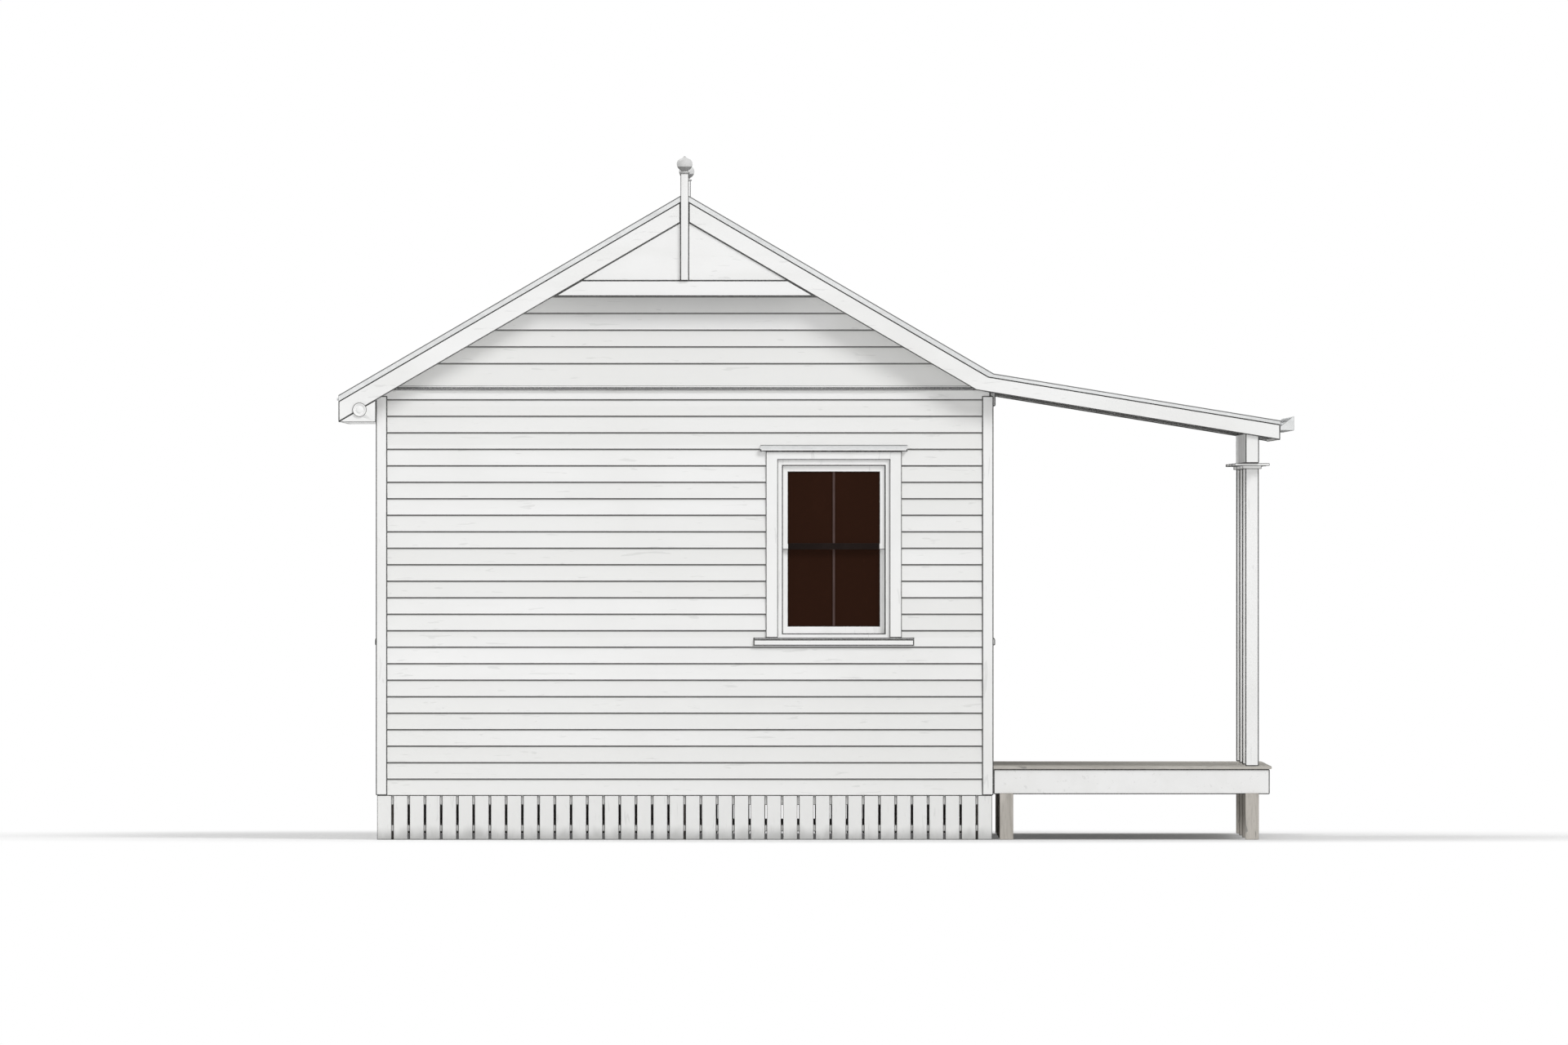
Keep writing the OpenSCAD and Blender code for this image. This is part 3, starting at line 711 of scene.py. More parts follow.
def coat_node(node, material):
    """Gives a CAD node that stays its finish."""
    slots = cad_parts[node].data.materials
    slots.clear()
    slots.append(material)


# ---- Cladding ----

TRIM_ON_WALLS = (
    "corner_stops",
    "window_architraves",
    "window_hoods",
    "window_sills",
    "door_frame",
    "belt_mouldings",
    "verandah_beams",
)


# A board shorter than this is left out.
SHORTEST_BOARD = 0.005


def open_spans(low, high, reach, blocks):
    """The stretches across a wall that no block takes anywhere between two heights."""
    spans = [(-reach, reach)]
    for block_low, block_high in blocks:
        if block_low.z < high - HAIR and block_high.z > low + HAIR:
            left, right = block_low.x - HAIR, block_high.x + HAIR
            spans = [
                part
                for start, stop in spans
                for part in ((start, min(stop, left)), (max(start, right), stop))
                if part[1] - part[0] > SHORTEST_BOARD
            ]
    return spans


def lengths_of(start, stop, sizes, draw):
    """A stretch of a course, cut on a stud where one board can't cover it."""
    if stop - start <= sizes.longest:
        return [(start, stop)]
    studs = int((stop - start) / sizes.stud)
    cut = start + sizes.stud * draw.randint(studs // 3, studs - studs // 3)
    return [(start, cut - sizes.joint / 2)] + lengths_of(cut + sizes.joint / 2, stop, sizes, draw)


def add_course(bm, sizes, base, cover, top, reach, blocks, draw):
    """One course of weatherboards, scribed round the trim. Each board leans on the one below."""
    above = bm.verts.layers.float["above"]
    below = bm.verts.layers.float["below"]
    tone = bm.faces.layers.float["tone"]
    full = cover + sizes.lap
    crest = min(base + full, top)
    heights = {base, crest}
    heights.update(corner.z for block in blocks for corner in block if base < corner.z < crest)
    heights = sorted(heights)
    for low, high in zip(heights, heights[1:]):
        for span in open_spans(low, high, reach, blocks):
            for start, stop in lengths_of(*span, sizes, draw):
                shade = draw.random()
                made = bmesh.ops.create_cube(bm, size=1.0)["verts"]
                for vert in made:
                    x = stop if vert.co.x > 0 else start
                    z = high if vert.co.z > 0 else low
                    share = (z - base) / full
                    front = vert.co.y < 0
                    near, far = (sizes.butt_out, sizes.top_out) if front else (sizes.butt_back, 0)
                    vert.co = (x, -near - (far - near) * share, z)
                    vert[above] = z - base
                    vert[below] = cover - (z - base)
                for face in {face for vert in made for face in vert.link_faces}:
                    face[tone] = shade


def new_boards():
    bm = bmesh.new()
    bm.verts.layers.float.new("above")
    bm.verts.layers.float.new("below")
    bm.faces.layers.float.new("tone")
    return bm


def butt_edges(bm, sizes, places):
    """The outer lower edges of boards whose butts are at these heights."""
    middle = (sizes.butt_out + sizes.butt_back) / 2
    return [
        e
        for e in bm.edges
        if all(v.co.y < -middle for v in e.verts)
        and any(all(abs(v.co.z - z) < HAIR for v in e.verts) for z in places)
    ]


class COTTAGE_OT_weatherboards(bpy.types.Operator):
    """Clad the four walls in lapped weatherboards"""

    bl_idname = "cottage.weatherboards"
    bl_label = "Wall Weatherboards"

    def execute(self, context):
        sizes = context.scene.cottage_cladding
        draw = random.Random(17)
        base, stop_top = (corner.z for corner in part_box("corner_stops"))
        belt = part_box("belt_mouldings")[0].z
        behind_soffit = 0.04
        for quarter, side, top in (
            (LEFT, "left", belt),
            (RIGHT, "right", belt),
            (FRONT, "front", stop_top),
            (REAR, "rear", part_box("soffits")[0].z + behind_soffit),
        ):
            bm = new_boards()
            blocks = boxes_on_wall(quarter, *TRIM_ON_WALLS)
            reach = HALF_LENGTH if quarter in (FRONT, REAR) else HALF_SPAN
            butts = [base + i * sizes.cover for i in range(int((top - base) / sizes.cover) + 1)]
            for butt in butts:
                add_course(bm, sizes, butt, sizes.cover, top, reach, blocks, draw)
            round_over(bm, sizes.edge, edges=butt_edges(bm, sizes, butts))
            bmesh.ops.transform(bm, matrix=wall_place(quarter), verts=bm.verts)
            axis = "X" if quarter in (LEFT, RIGHT) else "Y"
            finish_piece(f"{side}_weatherboards", bm, board_paint(axis))
        return {"FINISHED"}


class COTTAGE_OT_gable_boards(bpy.types.Operator):
    """Clad the two gables, cut to the slope of the roof"""

    bl_idname = "cottage.gable_boards"
    bl_label = "Gable Weatherboards"

    def execute(self, context):
        sizes = context.scene.cottage_cladding
        draw = random.Random(23)
        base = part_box("belt_mouldings")[1].z
        slack = 0.004
        clear = SHEET_DROP + SHEET_BAND + slack
        butts = [base, base + sizes.gable_first]
        while butts[-1] + sizes.gable_cover < RIDGE_Z - clear:
            butts.append(butts[-1] + sizes.gable_cover)
        for quarter, name in ((LEFT, "left"), (RIGHT, "right")):
            bm = new_boards()
            for butt, after in zip(butts, butts[1:] + [RIDGE_Z]):
                add_course(bm, sizes, butt, after - butt, RIDGE_Z, HALF_SPAN, [], draw)
            round_over(bm, sizes.edge, edges=butt_edges(bm, sizes, butts))
            for side in (-1, 1):
                cut_off(bm, (0, 0, RIDGE_Z - clear), Vector((side * MAIN_SLOPE, 0, 1)).normalized())
            bmesh.ops.transform(bm, matrix=wall_place(quarter), verts=bm.verts)
            finish_piece(f"{name}_gable_weatherboards", bm, board_paint("X"))
        return {"FINISHED"}


class COTTAGE_OT_rooms(bpy.types.Operator):
    """Finish the framed walls, the ceiling and the floor inside"""

    bl_idname = "cottage.rooms"
    bl_label = "Rooms"

    def execute(self, context):
        for node in ("left_wall", "right_wall", "front_wall", "rear_wall", "gable_walls", "ceiling"):
            coat_node(node, room_paint())
        pale, dark = tuple(colours().timber), tuple(colours().timber_dark)
        coat_node("floor", bare_timber("room_floor_boards", "Y", pale, dark, rough=0.4))
        return {"FINISHED"}


# ---- Under the house ----


class COTTAGE_OT_underfloor(bpy.types.Operator):
    """Stumps, bearers and joists in weathered timber"""

    bl_idname = "cottage.underfloor"
    bl_label = "Stumps and Floor Frame"

    def execute(self, context):
        sizes = context.scene.cottage_joinery
        for node, name, axis in (
            ("stumps", "timber_stumps", "Z"),
            ("floor_bearers", "timber_bearers", "Y"),
            ("floor_joists", "timber_joists", "X"),
            ("verandah_bearers", "timber_verandah_bearers", "X"),
            ("verandah_joists", "timber_verandah_joists", "Y"),
        ):
            bm = worked(node, sizes.fine_arris)
            finish_piece(name, bm, weathered_timber(axis), [node])
        return {"FINISHED"}


class COTTAGE_OT_base_boards(bpy.types.Operator):
    """Upright boards round the stumps"""

    bl_idname = "cottage.base_boards"
    bl_label = "Base Boards"

    def execute(self, context):
        sizes = context.scene.cottage_joinery
        for side in ("left", "right", "front", "rear"):
            node = f"{side}_base_boards"
            bm = worked(node, sizes.fine_arris)
            finish_piece(f"{side}_base_board_panel", bm, base_paint(), [node])
        return {"FINISHED"}


# ---- Trim ----


class COTTAGE_OT_trim(bpy.types.Operator):
    """Corner stops, belt mouldings and the boards of the gables and eaves"""

    bl_idname = "cottage.trim"
    bl_label = "Outside Trim"

    def execute(self, context):
        sizes = context.scene.cottage_joinery
        finish_trim(
            (
                ("corner_stops", "corner_stop_boards", "Z", sizes.arris),
                ("belt_mouldings", "belt_rails", "X", sizes.arris),
                ("barge_boards", "sawn_barge_boards", "X", sizes.arris),
                ("collar_boards", "gable_collars", "X", sizes.arris),
                ("apex_panels", "gable_apex_panels", "X", sizes.fine_arris),
                ("soffits", "soffit_lining", "X", sizes.fine_arris),
                ("fascia_boards", "long_fascias", "Y", sizes.fine_arris),
            )
        )
        return {"FINISHED"}


class COTTAGE_OT_king_posts(bpy.types.Operator):
    """King posts with turned finials"""

    bl_idname = "cottage.king_posts"
    bl_label = "King Posts"

    def execute(self, context):
        bm = worked("king_posts", context.scene.cottage_joinery.arris)
        arris = bm.faces.layers.float["arris"]
        finial = 0.11
        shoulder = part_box("king_posts")[1].z - finial
        finial_grey, underside_shade = 0.3, 0.8
        facing_down = -0.3
        # The finial is greyed all over, and its faces that turn down are darkened much more as painted
        # underside shade.
        for face in bm.faces:
            if face.calc_center_median().z > shoulder:
                turned_under = face.normal.z < facing_down
                face[arris] = underside_shade if turned_under else max(finial_grey, face[arris])
        paint_coat = trim_paint("Z")
        finish_piece("turned_king_posts", bm, paint_coat, ["king_posts"], smooth=32)
        return {"FINISHED"}


# Rings of the rosette from its rim inwards: the width of each, and how far it steps out
ROSETTE = ((0.008, 0.0), (0.003, -0.006), (0.011, 0.0), (0.003, 0.005), (0.008, 0.003))


class COTTAGE_OT_eave_ends(bpy.types.Operator):
    """End panels of the boxed eave, each with a turned rosette"""

    bl_idname = "cottage.eave_ends"
    bl_label = "Eave Ends"

    def execute(self, context):
        bm = worked("eave_end_panels", context.scene.cottage_joinery.fine_arris)
        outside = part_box("eave_end_panels")[1].y - 2 * HAIR
        most_corners = 20
        caps = [
            f
            for f in bm.faces
            if len(f.verts) > most_corners and abs(f.calc_center_median().y) > outside
        ]
        for width, step in ROSETTE:
            bmesh.ops.inset_region(bm, faces=caps, thickness=width, depth=step, use_even_offset=True)
        paint_coat = trim_paint("Z")
        finish_piece("eave_end_boards", bm, paint_coat, ["eave_end_panels"], smooth=30)
        return {"FINISHED"}


# ---- Roof ----

STEPS_PER_CORRUGATION = 12


def add_sheet(bm, sizes, x_range, y_start, drop):
    """One corrugated sheet, a little raised at the edge that laps its neighbour."""
    lap = sizes.corrugation / 2
    width = sizes.sheet + lap
    steps = round(width / sizes.corrugation * STEPS_PER_CORRUGATION)
    made = bmesh.ops.create_grid(bm, x_segments=1, y_segments=steps, size=0.5)["verts"]
    for vert in made:
        x = x_range[0] + (vert.co.x + 0.5) * (x_range[1] - x_range[0])
        across = vert.co.y + 0.5
        y = y_start + across * width
        wave = (math.cos(2 * math.pi * y / sizes.corrugation) - 1) * sizes.depth / 2
        z = roof_z(x) - drop - sizes.lap_lift * (1 - across) + wave
        vert.co = (x, y, z)


class COTTAGE_OT_roof_sheets(bpy.types.Operator):
    """Corrugated sheets on the two slopes and the verandah"""

    bl_idname = "cottage.roof_sheets"
    bl_label = "Roof Sheets"

    def execute(self, context):
        sizes = context.scene.cottage_roofing
        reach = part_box("rear_roof")[1].y - HAIR
        ridge_gap = 0.03
        for node, name, ends in (
            ("rear_roof", "rear_sheets", (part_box("rear_roof")[0].x, RIDGE_X - ridge_gap)),
            ("front_roof", "front_sheets", (RIDGE_X + ridge_gap, BREAK_X)),
            ("verandah_roof", "verandah_sheets", (BREAK_X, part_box("verandah_roof")[1].x)),
        ):
            bm = bmesh.new()
            count = math.ceil(2 * reach / sizes.sheet)
            for i in range(count):
                add_sheet(bm, sizes, ends, -reach + i * sizes.sheet, SHEET_DROP + HAIR)
            for side in (-1, 1):
                cut_off(bm, (0, side * reach, 0), (0, side, 0), closed=False)
            bmesh.ops.solidify(bm, geom=bm.faces[:], thickness=sizes.gauge)
            zinc = zinc_sheet("zinc_sheets", tuple(colours().sheet), 0.25)
            finish_piece(name, bm, zinc, [node], smooth=40)
        self.battens(sizes, reach)
        return {"FINISHED"}

    def battens(self, sizes, reach):
        """Thin battens over the verandah rafters, which show from below."""
        bm = bmesh.new()
        under = SHEET_DROP + SHEET_BAND
        half = sizes.batten_width / 2
        thick = 0.006
        for x in batten_rows(sizes, BREAK_X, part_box("verandah_roof")[1].x):
            for vert in add_block(bm, (x - half, -reach, 0), (x + half, reach, thick)):
                vert.co.z += roof_z(vert.co.x) - under
        round_over(bm, HAIR)
        finish_piece("verandah_battens", bm, weathered_timber("Y"))


def batten_rows(sizes, start, stop):
    """Places of the battens across a slope."""
    inset = 0.10
    run = stop - start - 2 * inset
    gaps = max(1, round(run / sizes.batten))
    return [start + inset + i * run / gaps for i in range(gaps + 1)]


class COTTAGE_OT_screws(bpy.types.Operator):
    """Screws with washers on every other crest of the sheets"""

    bl_idname = "cottage.screws"
    bl_label = "Roof Screws"

    def execute(self, context):
        sizes = context.scene.cottage_roofing
        bm = bmesh.new()
        low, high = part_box("ridge_capping")
        under_capping, off_break = 0.06, 0.10
        stretches = (
            (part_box("rear_roof")[0].x, low.x + under_capping, -MAIN_SLOPE),
            (high.x - under_capping, BREAK_X - off_break, MAIN_SLOPE),
            (BREAK_X + off_break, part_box("verandah_roof")[1].x, VERANDAH_SLOPE),
        )
        rows = [
            (x, slope) for start, stop, slope in stretches for x in batten_rows(sizes, start, stop)
        ]
        # Sides, radius of the foot and of the top, height, and height of the middle over the crest
        washer = (10, sizes.screw / 2, sizes.screw * 0.36, 0.003, 0.0005)
        head = (6, sizes.screw * 0.27, sizes.screw * 0.24, 0.005, 0.0040)
        crests = int(high.y / (2 * sizes.corrugation))
        for x, slope in rows:
            lie = Matrix.Rotation(math.atan(slope), 4, "Y")
            for i in range(-crests, crests + 1):
                seat = Matrix.Translation((x, 2 * i * sizes.corrugation, roof_z(x) - SHEET_DROP)) @ lie
                for *shape, lift in (washer, head):
                    add_drum(bm, *shape, seat @ Matrix.Translation((0, 0, lift)))
        zinc = zinc_sheet("zinc_fixings", tuple(colours().sheet), 0.6)
        finish_piece("roof_screws", bm, zinc)
        return {"FINISHED"}


class COTTAGE_OT_cappings(bpy.types.Operator):
    """Ridge capping in lapped lengths, barge cappings and the flashing at the break"""

    bl_idname = "cottage.cappings"
    bl_label = "Cappings"

    def execute(self, context):
        sizes = context.scene.cottage_roofing
        joinery = context.scene.cottage_joinery
        metal = capping_metal()
        self.ridge(sizes, joinery, metal)
        bm = merged_copy("barge_cappings")
        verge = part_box("barge_boards")[1].y
        crown = [
            e
            for e in sharp_edges(bm)
            if all(abs(v.co.y) > verge + HAIR and roof_z(v.co.x) - v.co.z < HAIR for v in e.verts)
        ]
        round_over(bm, joinery.arris, 3, crown)
        round_over(bm, joinery.metal_arris, 1)
        finish_piece("folded_barge_cappings", bm, metal, ["barge_cappings"])
        self.flashing(sizes, metal)
        return {"FINISHED"}

    def flashing(self, sizes, metal):
        """A folded strip over the break between the two slopes."""
        bm = bmesh.new()
        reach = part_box("ridge_capping")[1].y
        apron = 0.12
        lift = 0.002
        made = bmesh.ops.create_grid(bm, x_segments=2, y_segments=1, size=0.5)["verts"]
        for vert in made:
            x = BREAK_X + vert.co.x * 2 * apron
            vert.co = (x, vert.co.y * 2 * reach, roof_z(x) - SHEET_DROP + lift)
        bmesh.ops.solidify(bm, geom=bm.faces[:], thickness=sizes.gauge)
        finish_piece("break_flashing", bm, metal)

    def ridge(self, sizes, joinery, metal):
        """Lengths of capping, each a little raised where it laps the next."""
        bm = bmesh.new()
        low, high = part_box("ridge_capping")
        count = round((high.y - low.y) / sizes.capping_length)
        step = (high.y - low.y) / count
        lap, rise = 0.06, 0.003
        for i in range(count):
            part = worked("ridge_capping", joinery.metal_arris, 1)
            start = low.y + i * step
            stop = start + step + (lap if i < count - 1 else 0)
            cut_off(part, (0, start, 0), (0, -1, 0))
            cut_off(part, (0, stop, 0), (0, 1, 0))
            for vert in part.verts:
                vert.co.z += rise * (vert.co.y - start) / step
            shape = bpy.data.meshes.new("ridge_length")
            part.to_mesh(shape)
            part.free()
            bm.from_mesh(shape)
            bpy.data.meshes.remove(shape)
        finish_piece("rolled_ridge_capping", bm, metal, ["ridge_capping"], smooth=30)


class COTTAGE_OT_gutter(bpy.types.Operator):
    """Box gutter with a rolled lip, straps and brackets"""

    bl_idname = "cottage.gutter"
    bl_label = "Gutter"

    def execute(self, context):
        sizes = context.scene.cottage_roofing
        low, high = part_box("verandah_gutter")
        bm = worked("verandah_gutter", context.scene.cottage_joinery.metal_arris, 1)
        lip = Matrix.Translation((high.x - sizes.bead, 0, high.z - sizes.bead))
        lip @= Matrix.Rotation(math.pi / 2, 4, "X")
        add_drum(bm, 12, sizes.bead, sizes.bead, high.y - low.y - 2 * HAIR, lip)
        finish_piece("box_gutter", bm, capping_metal(), ["verandah_gutter"], smooth=35)
        self.straps(sizes, low, high)
        return {"FINISHED"}

    def straps(self, sizes, low, high):
        """A strap across the gutter's channel and a bracket under it, at each place."""
        bm = bmesh.new()
        first = 0.15
        half, thick = 0.012, 0.003
        under_lip = 0.027
        back_gap, lip_gap, bracket_gap = 0.002, 0.008, 0.0002
        reach = high.y - first
        count = round(2 * reach / sizes.strap)
        for i in range(count + 1):
            y = -reach + i * 2 * reach / count
            strap_low = (low.x + back_gap, y - half, high.z - under_lip - thick)
            strap_high = (high.x - lip_gap, y + half, high.z - under_lip)
            add_block(bm, strap_low, strap_high)
            bracket_low = (low.x, y - half, low.z - thick)
            bracket_high = (high.x - back_gap, y + half, low.z - bracket_gap)
            add_block(bm, bracket_low, bracket_high)
        round_over(bm, thick / 4, 1)
        finish_piece("gutter_straps", bm, capping_metal())


# ---- Verandah ----


class COTTAGE_OT_verandah_frame(bpy.types.Operator):
    """Posts, capitals, beams, rafters and edge boards"""

    bl_idname = "cottage.verandah_frame"
    bl_label = "Verandah Frame"

    def execute(self, context):
        sizes = context.scene.cottage_joinery
        finish_trim(
            (
                ("verandah_posts", "square_posts", "Z", sizes.arris),
                ("post_capitals", "moulded_capitals", "X", sizes.fine_arris),
                ("verandah_beams", "post_and_wall_beams", "Y", sizes.arris),
                ("verandah_rafters", "exposed_rafters", "X", sizes.fine_arris),
                ("verandah_edge_boards", "deck_edge_boards", "Y", sizes.arris),
            )
        )
        return {"FINISHED"}


class COTTAGE_OT_deck(bpy.types.Operator):
    """Floor boards of the verandah, with rounded ends"""

    bl_idname = "cottage.deck"
    bl_label = "Verandah Floor"

    def execute(self, context):
        sizes = context.scene.cottage_deck
        draw = random.Random(31)
        low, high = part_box("verandah_floor")
        bm = bmesh.new()
        tone = bm.faces.layers.float.new("tone")
        count = round((high.y - low.y + sizes.gap) / (sizes.board + sizes.gap))
        step = (high.y - low.y + sizes.gap) / count
        for i in range(count):
            y = low.y + i * step
            made = add_block(bm, (low.x, y, low.z), (high.x, y + step - sizes.gap, high.z))
            shade = draw.random()
            for face in {face for vert in made for face in vert.link_faces}:
                face[tone] = shade
        nose = [
            e
            for e in bm.edges
            if all(abs(v.co.x - high.x) < MERGE for v in e.verts)
            and abs(e.verts[0].co.z - e.verts[1].co.z) < MERGE
        ]
        round_over(bm, sizes.nosing, 4, nose)
        half = (high.x - low.x) / 2
        long_edges = [
            e for e in sharp_edges(bm, 60) if abs(e.verts[0].co.x - e.verts[1].co.x) > half
        ]
        round_over(bm, sizes.edge, 2, long_edges)
        timber = bare_timber("verandah_boards", "X", tuple(colours().deck), tuple(colours().deck_dark))
        finish_piece("deck_boards", bm, timber, ["verandah_floor"])
        return {"FINISHED"}


# ---- Windows and door ----


class COTTAGE_OT_windows(bpy.types.Operator):
    """Window frames, sashes, glass and glazing bars"""

    bl_idname = "cottage.windows"
    bl_label = "Windows"

    def execute(self, context):
        sizes = context.scene.cottage_joinery
        finish_trim(
            (
                ("window_frames", "window_linings", "Z", sizes.fine_arris),
                ("window_sashes", "sliding_sashes", "Z", sizes.fine_arris),
            )
        )
        coat_node("window_glass", old_glass())
        bars, rails = bmesh.new(), bmesh.new()
        for quarter in (LEFT, FRONT, RIGHT, REAR):
            panes = boxes_on_wall(quarter, "window_glass")
            made = [vert for pane in panes for vert in self.bar(bars, sizes, *pane)]
            bmesh.ops.transform(bars, matrix=wall_place(quarter), verts=made)
            sashes = boxes_on_wall(quarter, "window_sashes")
            made = [vert for low, high in sashes for vert in self.rail(rails, low, panes)]
            bmesh.ops.transform(rails, matrix=wall_place(quarter), verts=made)
        round_over(bars, 2 * HAIR)
        round_over(rails, HAIR)
        for name, bm, coat, colour in (
            ("glazing_bars", bars, "glazing_bar_paint", colours().bars),
            ("meeting_rail_faces", rails, "meeting_rail_paint", colours().meeting),
        ):
            finish_piece(name, bm, gloss_paint(coat, tuple(colour)))
        return {"FINISHED"}

    def bar(self, bm, sizes, low, high):
        """An upright bar down the middle of a pane."""
        middle = (low.x + high.x) / 2
        return add_block(
            bm,
            (middle - sizes.bar / 2, low.y - sizes.bar_depth, low.z),
            (middle + sizes.bar / 2, low.y + HAIR, high.z),
        )

    def rail(self, bm, sash, panes):
        """The face of an upper sash's foot rail, which is narrower than a lower one's."""
        widest, half = 0.05, 0.003
        low, high = min(panes, key=lambda pane: (pane[0].x - sash.x) ** 2 + (pane[0].z - sash.z) ** 2)
        if low.z - sash.z >= widest:
            return []
        return add_block(bm, (low.x, sash.y - half, sash.z), (high.x, sash.y + half, low.z))


class COTTAGE_OT_window_trim(bpy.types.Operator):
    """Architraves, hoods with their flashings, and sills"""

    bl_idname = "cottage.window_trim"
    bl_label = "Window Trim"

    def execute(self, context):
        sizes = context.scene.cottage_joinery
        finish_trim(
            (
                ("window_architraves", "moulded_architraves", "Z", sizes.arris),
                ("window_hoods", "sloped_hoods", "X", sizes.arris),
                ("window_sills", "sloped_sills", "X", sizes.arris),
            )
        )
        bm = bmesh.new()
        for quarter in (LEFT, RIGHT):
            hoods = boxes_on_wall(quarter, "window_hoods")
            made = [vert for hood in hoods for vert in self.flashing(bm, sizes, *hood)]
            bmesh.ops.transform(bm, matrix=wall_place(quarter), verts=made)
        bmesh.ops.recalc_face_normals(bm, faces=bm.faces)
        bmesh.ops.solidify(bm, geom=bm.faces[:], thickness=HAIR)
        metal = zinc_sheet("zinc_flashings", tuple(colours().capping), 0.1)
        finish_piece("hood_flashings", bm, metal)
        return {"FINISHED"}

    def flashing(self, bm, sizes, low, high):
        """A strip down the slope of a hood, with its front edge turned down."""
        front_share, off = 0.6, 0.0015
        front_z = low.z + (high.z - low.z) * front_share
        line = [(0, high.z), (low.y - off, front_z), (low.y - off, front_z - sizes.flashing)]
        made = bmesh.ops.create_grid(bm, x_segments=1, y_segments=2, size=0.5)["verts"]
        for vert in made:
            out, up = line[round((vert.co.y + 0.5) * 2)]
            vert.co = (low.x - HAIR if vert.co.x < 0 else high.x + HAIR, out, up + HAIR)
        return made


# Steps of a door panel's moulding from its edge inwards: the width of each, and how far it steps out
PANEL_MOULDING = ((0.003, 0.007), (0.008, 0.0), (0.006, -0.006), (0.022, 0.0), (0.016, 0.006))


class COTTAGE_OT_door(bpy.types.Operator):
    """Door frame and a door with four moulded panels"""

    bl_idname = "cottage.door"
    bl_label = "Door"

    def execute(self, context):
        finish_trim([("door_frame", "moulded_door_frame", "Z", context.scene.cottage_joinery.arris)])
        low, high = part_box("front_door")
        bm = merged_copy("front_door")
        recess = 0.004
        fields = [
            f
            for f in bm.faces
            if abs(f.normal.x) > 0.9 and low.x + recess < f.calc_center_median().x < high.x - recess
        ]
        for width, step in PANEL_MOULDING:
            bmesh.ops.inset_individual(
                bm, faces=fields, thickness=width, depth=step, use_even_offset=True
            )
        round_over(bm, 1.5 * HAIR, 1, sharp_edges(bm, 60))
        gloss = gloss_paint("front_door_paint", tuple(colours().door))
        finish_piece("panelled_door", bm, gloss, ["front_door"])
        return {"FINISHED"}


# Turnings of the rose, neck and knob: radii of the foot and top as shares of the knob's, depth, and
# how far the middle stands out
KNOB = (
    (0.95, 0.85, 0.006, 0.003),
    (0.45, 0.35, 0.024, 0.018),
    (0.40, 1.00, 0.012, 0.034),
    (1.00, 0.95, 0.006, 0.043),
    (0.95, 0.45, 0.008, 0.050),
)

# Heights of the hinges above the foot of the door, and the length and radius of a knuckle
HINGES = (0.22, 1.02, 1.82)
KNUCKLE = 0.032
PIN = 0.006


class COTTAGE_OT_door_furniture(bpy.types.Operator):
    """Knob, rose, plain lock plate and hinges of the door"""

    bl_idname = "cottage.door_furniture"
    bl_label = "Door Furniture"

    def execute(self, context):
        sizes = context.scene.cottage_joinery
        low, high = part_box("front_door")
        bm = bmesh.new()
        backset = 0.06
        spot = Vector((high.x, high.y - backset, low.z + sizes.knob_height))
        radius = sizes.knob / 2
        outwards = Matrix.Rotation(math.pi / 2, 4, "Y")
        for foot, top, depth, out in KNOB:
            place = Matrix.Translation(spot + Vector((out, 0, 0))) @ outwards
            add_drum(bm, 32, foot * radius, top * radius, depth, place)
        half, thick = 0.026, 0.004
        lowest, highest = spot.z - 0.14, spot.z - 0.045
        plate = add_block(
            bm, (high.x - HAIR, spot.y - half, lowest), (high.x + thick, spot.y + half, highest)
        )
        corners = list({e for vert in plate for e in vert.link_edges})
        bmesh.ops.bevel(
            bm, geom=corners, offset=1.5 * HAIR, segments=2, profile=0.5, affect="EDGES", material=-1
        )
        for height in HINGES:
            pin = Matrix.Translation((high.x + thick, low.y - HAIR, low.z + height))
            for lift in (-KNUCKLE - 2 * HAIR, 0, KNUCKLE + 2 * HAIR):
                add_drum(bm, 16, PIN, PIN, KNUCKLE, pin @ Matrix.Translation((0, 0, lift)))
        finish_piece("door_furniture", bm, old_iron(), smooth=35)
        return {"FINISHED"}


# ---- Stage ----


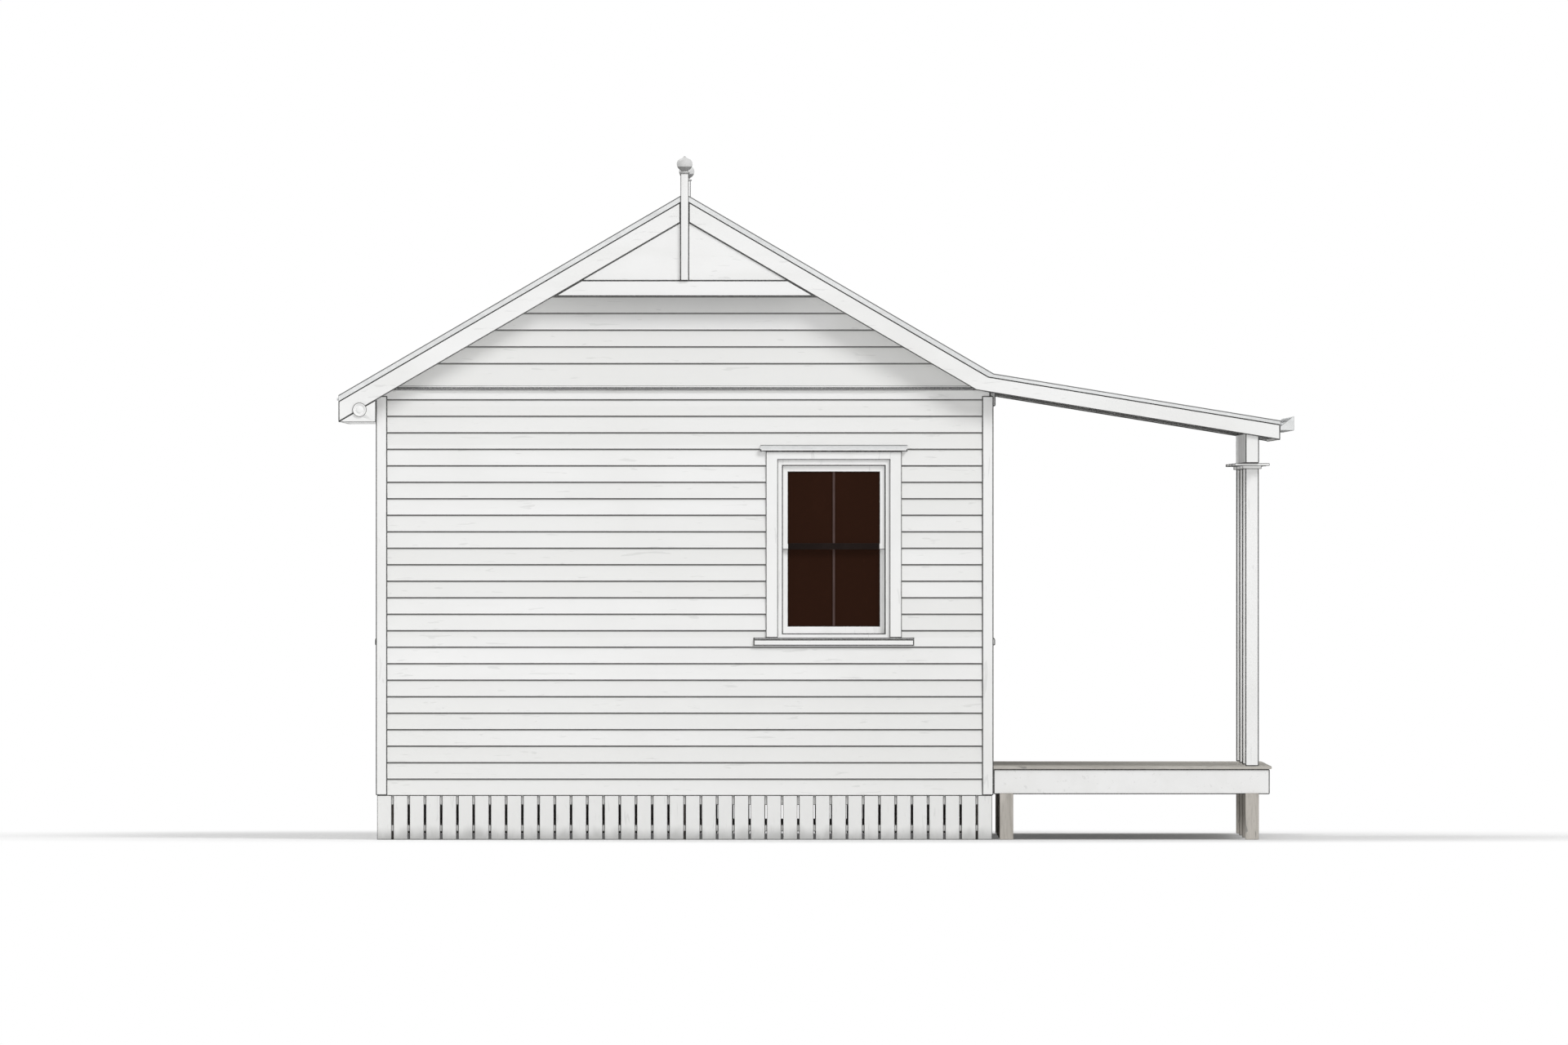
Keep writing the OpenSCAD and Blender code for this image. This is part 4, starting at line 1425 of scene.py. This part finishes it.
class COTTAGE_OT_stage(bpy.types.Operator):
    """Pale floor, soft light and a camera square to the left gable"""

    bl_idname = "cottage.stage"
    bl_label = "Stage"

    def execute(self, context):
        sizes = context.scene.cottage_stage
        context.scene.view_settings.view_transform = "Standard"
        self.camera(context, sizes)
        self.floor(sizes)
        self.sky(context, sizes)
        for name, strength, turn, rise in (
            ("key_light", sizes.key, sizes.key_turn, sizes.key_rise),
            ("back_light", sizes.fill, sizes.fill_turn, sizes.fill_rise),
        ):
            lamp = bpy.data.lights.new(name, "SUN")
            lamp.energy = strength
            lamp.angle = sizes.key_soft
            towards = Matrix.Rotation(turn, 3, "Z") @ Vector((0, -math.cos(rise), math.sin(rise)))
            place = bpy.data.objects.new(name, lamp)
            place.rotation_euler = towards.to_track_quat("Z", "Y").to_euler()
            context.scene.collection.objects.link(place)
        return {"FINISHED"}

    def camera(self, context, sizes):
        lens = bpy.data.cameras.new("elevation_camera")
        lens.lens = sizes.lens
        away = sizes.view_width * sizes.lens / lens.sensor_width
        lens.clip_end = 5 * away
        place = bpy.data.objects.new("elevation_camera", lens)
        middle = (CAD_LOW.x + CAD_HIGH.x) / 2
        behind_barge = 0.1
        gable_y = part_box("barge_boards")[0].y + behind_barge
        place.location = (middle - sizes.view_left, gable_y - away, sizes.view_height)
        place.rotation_euler = (math.pi / 2, 0, 0)
        context.scene.collection.objects.link(place)
        context.scene.camera = place

    def floor(self, sizes):
        """A floor that keeps the object's shadow and goes white further out."""
        bm = bmesh.new()
        bmesh.ops.create_grid(bm, x_segments=8, y_segments=8, size=sizes.floor)
        bmesh.ops.translate(bm, vec=(0, 0, -HAIR), verts=bm.verts)
        mesh = bpy.data.meshes.new("studio_floor")
        bm.to_mesh(mesh)
        bm.free()
        finish = Finish("studio_floor")
        values = {0: finish.place}
        out = finish.node("ShaderNodeVectorMath", {"operation": "LENGTH"}, values, output="Value")
        grain = finish.noise(3, detail=4)
        camera_ray = finish.node("ShaderNodeLightPath", output="Is Camera Ray")
        glossy_ray = finish.node("ShaderNodeLightPath", output="Is Glossy Ray")
        pale, dull = (0.86, 0.86, 0.86), (0.84, 0.84, 0.84)
        tone = finish.blend(pale, dull, grain)
        plain = finish.node("ShaderNodeBsdfDiffuse", values={"Color": tone})
        white = finish.node("ShaderNodeEmission", values={"Strength": 1.0})
        fade = finish.rise(out, sizes.floor_fade / 2, sizes.floor_fade)
        share = (camera_ray | glossy_ray) * (0.10 + 0.90 * fade)
        both = finish.node("ShaderNodeMixShader", values={0: share, 1: plain, 2: white})
        finish.tree.links.new(both.socket, finish.end.inputs["Surface"])
        mesh.materials.append(finish.material)
        floor = bpy.data.objects.new("studio_floor", mesh)
        bpy.context.scene.collection.objects.link(floor)

    def sky(self, context, sizes):
        """Even light for the object, and plain white for what the camera, gloss and glass see."""
        world = bpy.data.worlds.new("studio_sky")
        context.scene.world = world
        world.use_nodes = True
        tree = world.node_tree
        tree.nodes.clear()
        seen = tree.nodes.new("ShaderNodeLightPath")
        light = tree.nodes.new("ShaderNodeBackground")
        light.inputs["Color"].default_value = (1, 1, 1, 1)
        light.inputs["Strength"].default_value = sizes.sky
        white = tree.nodes.new("ShaderNodeBackground")
        white.inputs["Color"].default_value = (1, 1, 1, 1)
        shares = [seen.outputs[f"Is {kind} Ray"] for kind in ("Camera", "Glossy", "Transmission")]
        last = light.outputs[0]
        for share in shares:
            mix = tree.nodes.new("ShaderNodeMixShader")
            tree.links.new(share, mix.inputs[0])
            tree.links.new(last, mix.inputs[1])
            tree.links.new(white.outputs[0], mix.inputs[2])
            last = mix.outputs[0]
        end = tree.nodes.new("ShaderNodeOutputWorld")
        tree.links.new(last, end.inputs["Surface"])


OPERATORS = (
    COTTAGE_OT_stage,
    COTTAGE_OT_weatherboards,
    COTTAGE_OT_gable_boards,
    COTTAGE_OT_rooms,
    COTTAGE_OT_underfloor,
    COTTAGE_OT_base_boards,
    COTTAGE_OT_trim,
    COTTAGE_OT_king_posts,
    COTTAGE_OT_eave_ends,
    COTTAGE_OT_roof_sheets,
    COTTAGE_OT_screws,
    COTTAGE_OT_cappings,
    COTTAGE_OT_gutter,
    COTTAGE_OT_verandah_frame,
    COTTAGE_OT_deck,
    COTTAGE_OT_windows,
    COTTAGE_OT_window_trim,
    COTTAGE_OT_door,
    COTTAGE_OT_door_furniture,
)


class COTTAGE_PT_pieces(bpy.types.Panel):
    """Buttons for every piece, in the order in which they are built"""

    bl_idname = "COTTAGE_PT_pieces"
    bl_label = "Weatherboard Cottage"
    bl_space_type = "VIEW_3D"
    bl_region_type = "UI"
    bl_category = "Cottage"

    def draw(self, context):
        for operator in OPERATORS:
            self.layout.operator(operator.bl_idname)
        for name, group in GROUPS.items():
            box = self.layout.box()
            box.label(text=group.__doc__)
            for key in group.__annotations__:
                box.prop(getattr(context.scene, name), key)


def register():
    for group in GROUPS.values():
        bpy.utils.register_class(group)
    for name, group in GROUPS.items():
        setattr(bpy.types.Scene, name, PointerProperty(type=group))
    for operator in OPERATORS:
        bpy.utils.register_class(operator)
    bpy.utils.register_class(COTTAGE_PT_pieces)


def unregister():
    bpy.utils.unregister_class(COTTAGE_PT_pieces)
    for operator in reversed(OPERATORS):
        bpy.utils.unregister_class(operator)
    for name in GROUPS:
        delattr(bpy.types.Scene, name)
    for group in reversed(GROUPS.values()):
        bpy.utils.unregister_class(group)


def main():
    register()
    for operator in OPERATORS:
        group, name = operator.bl_idname.split(".")
        getattr(getattr(bpy.ops, group), name)()


if __name__ == "__main__":
    main()
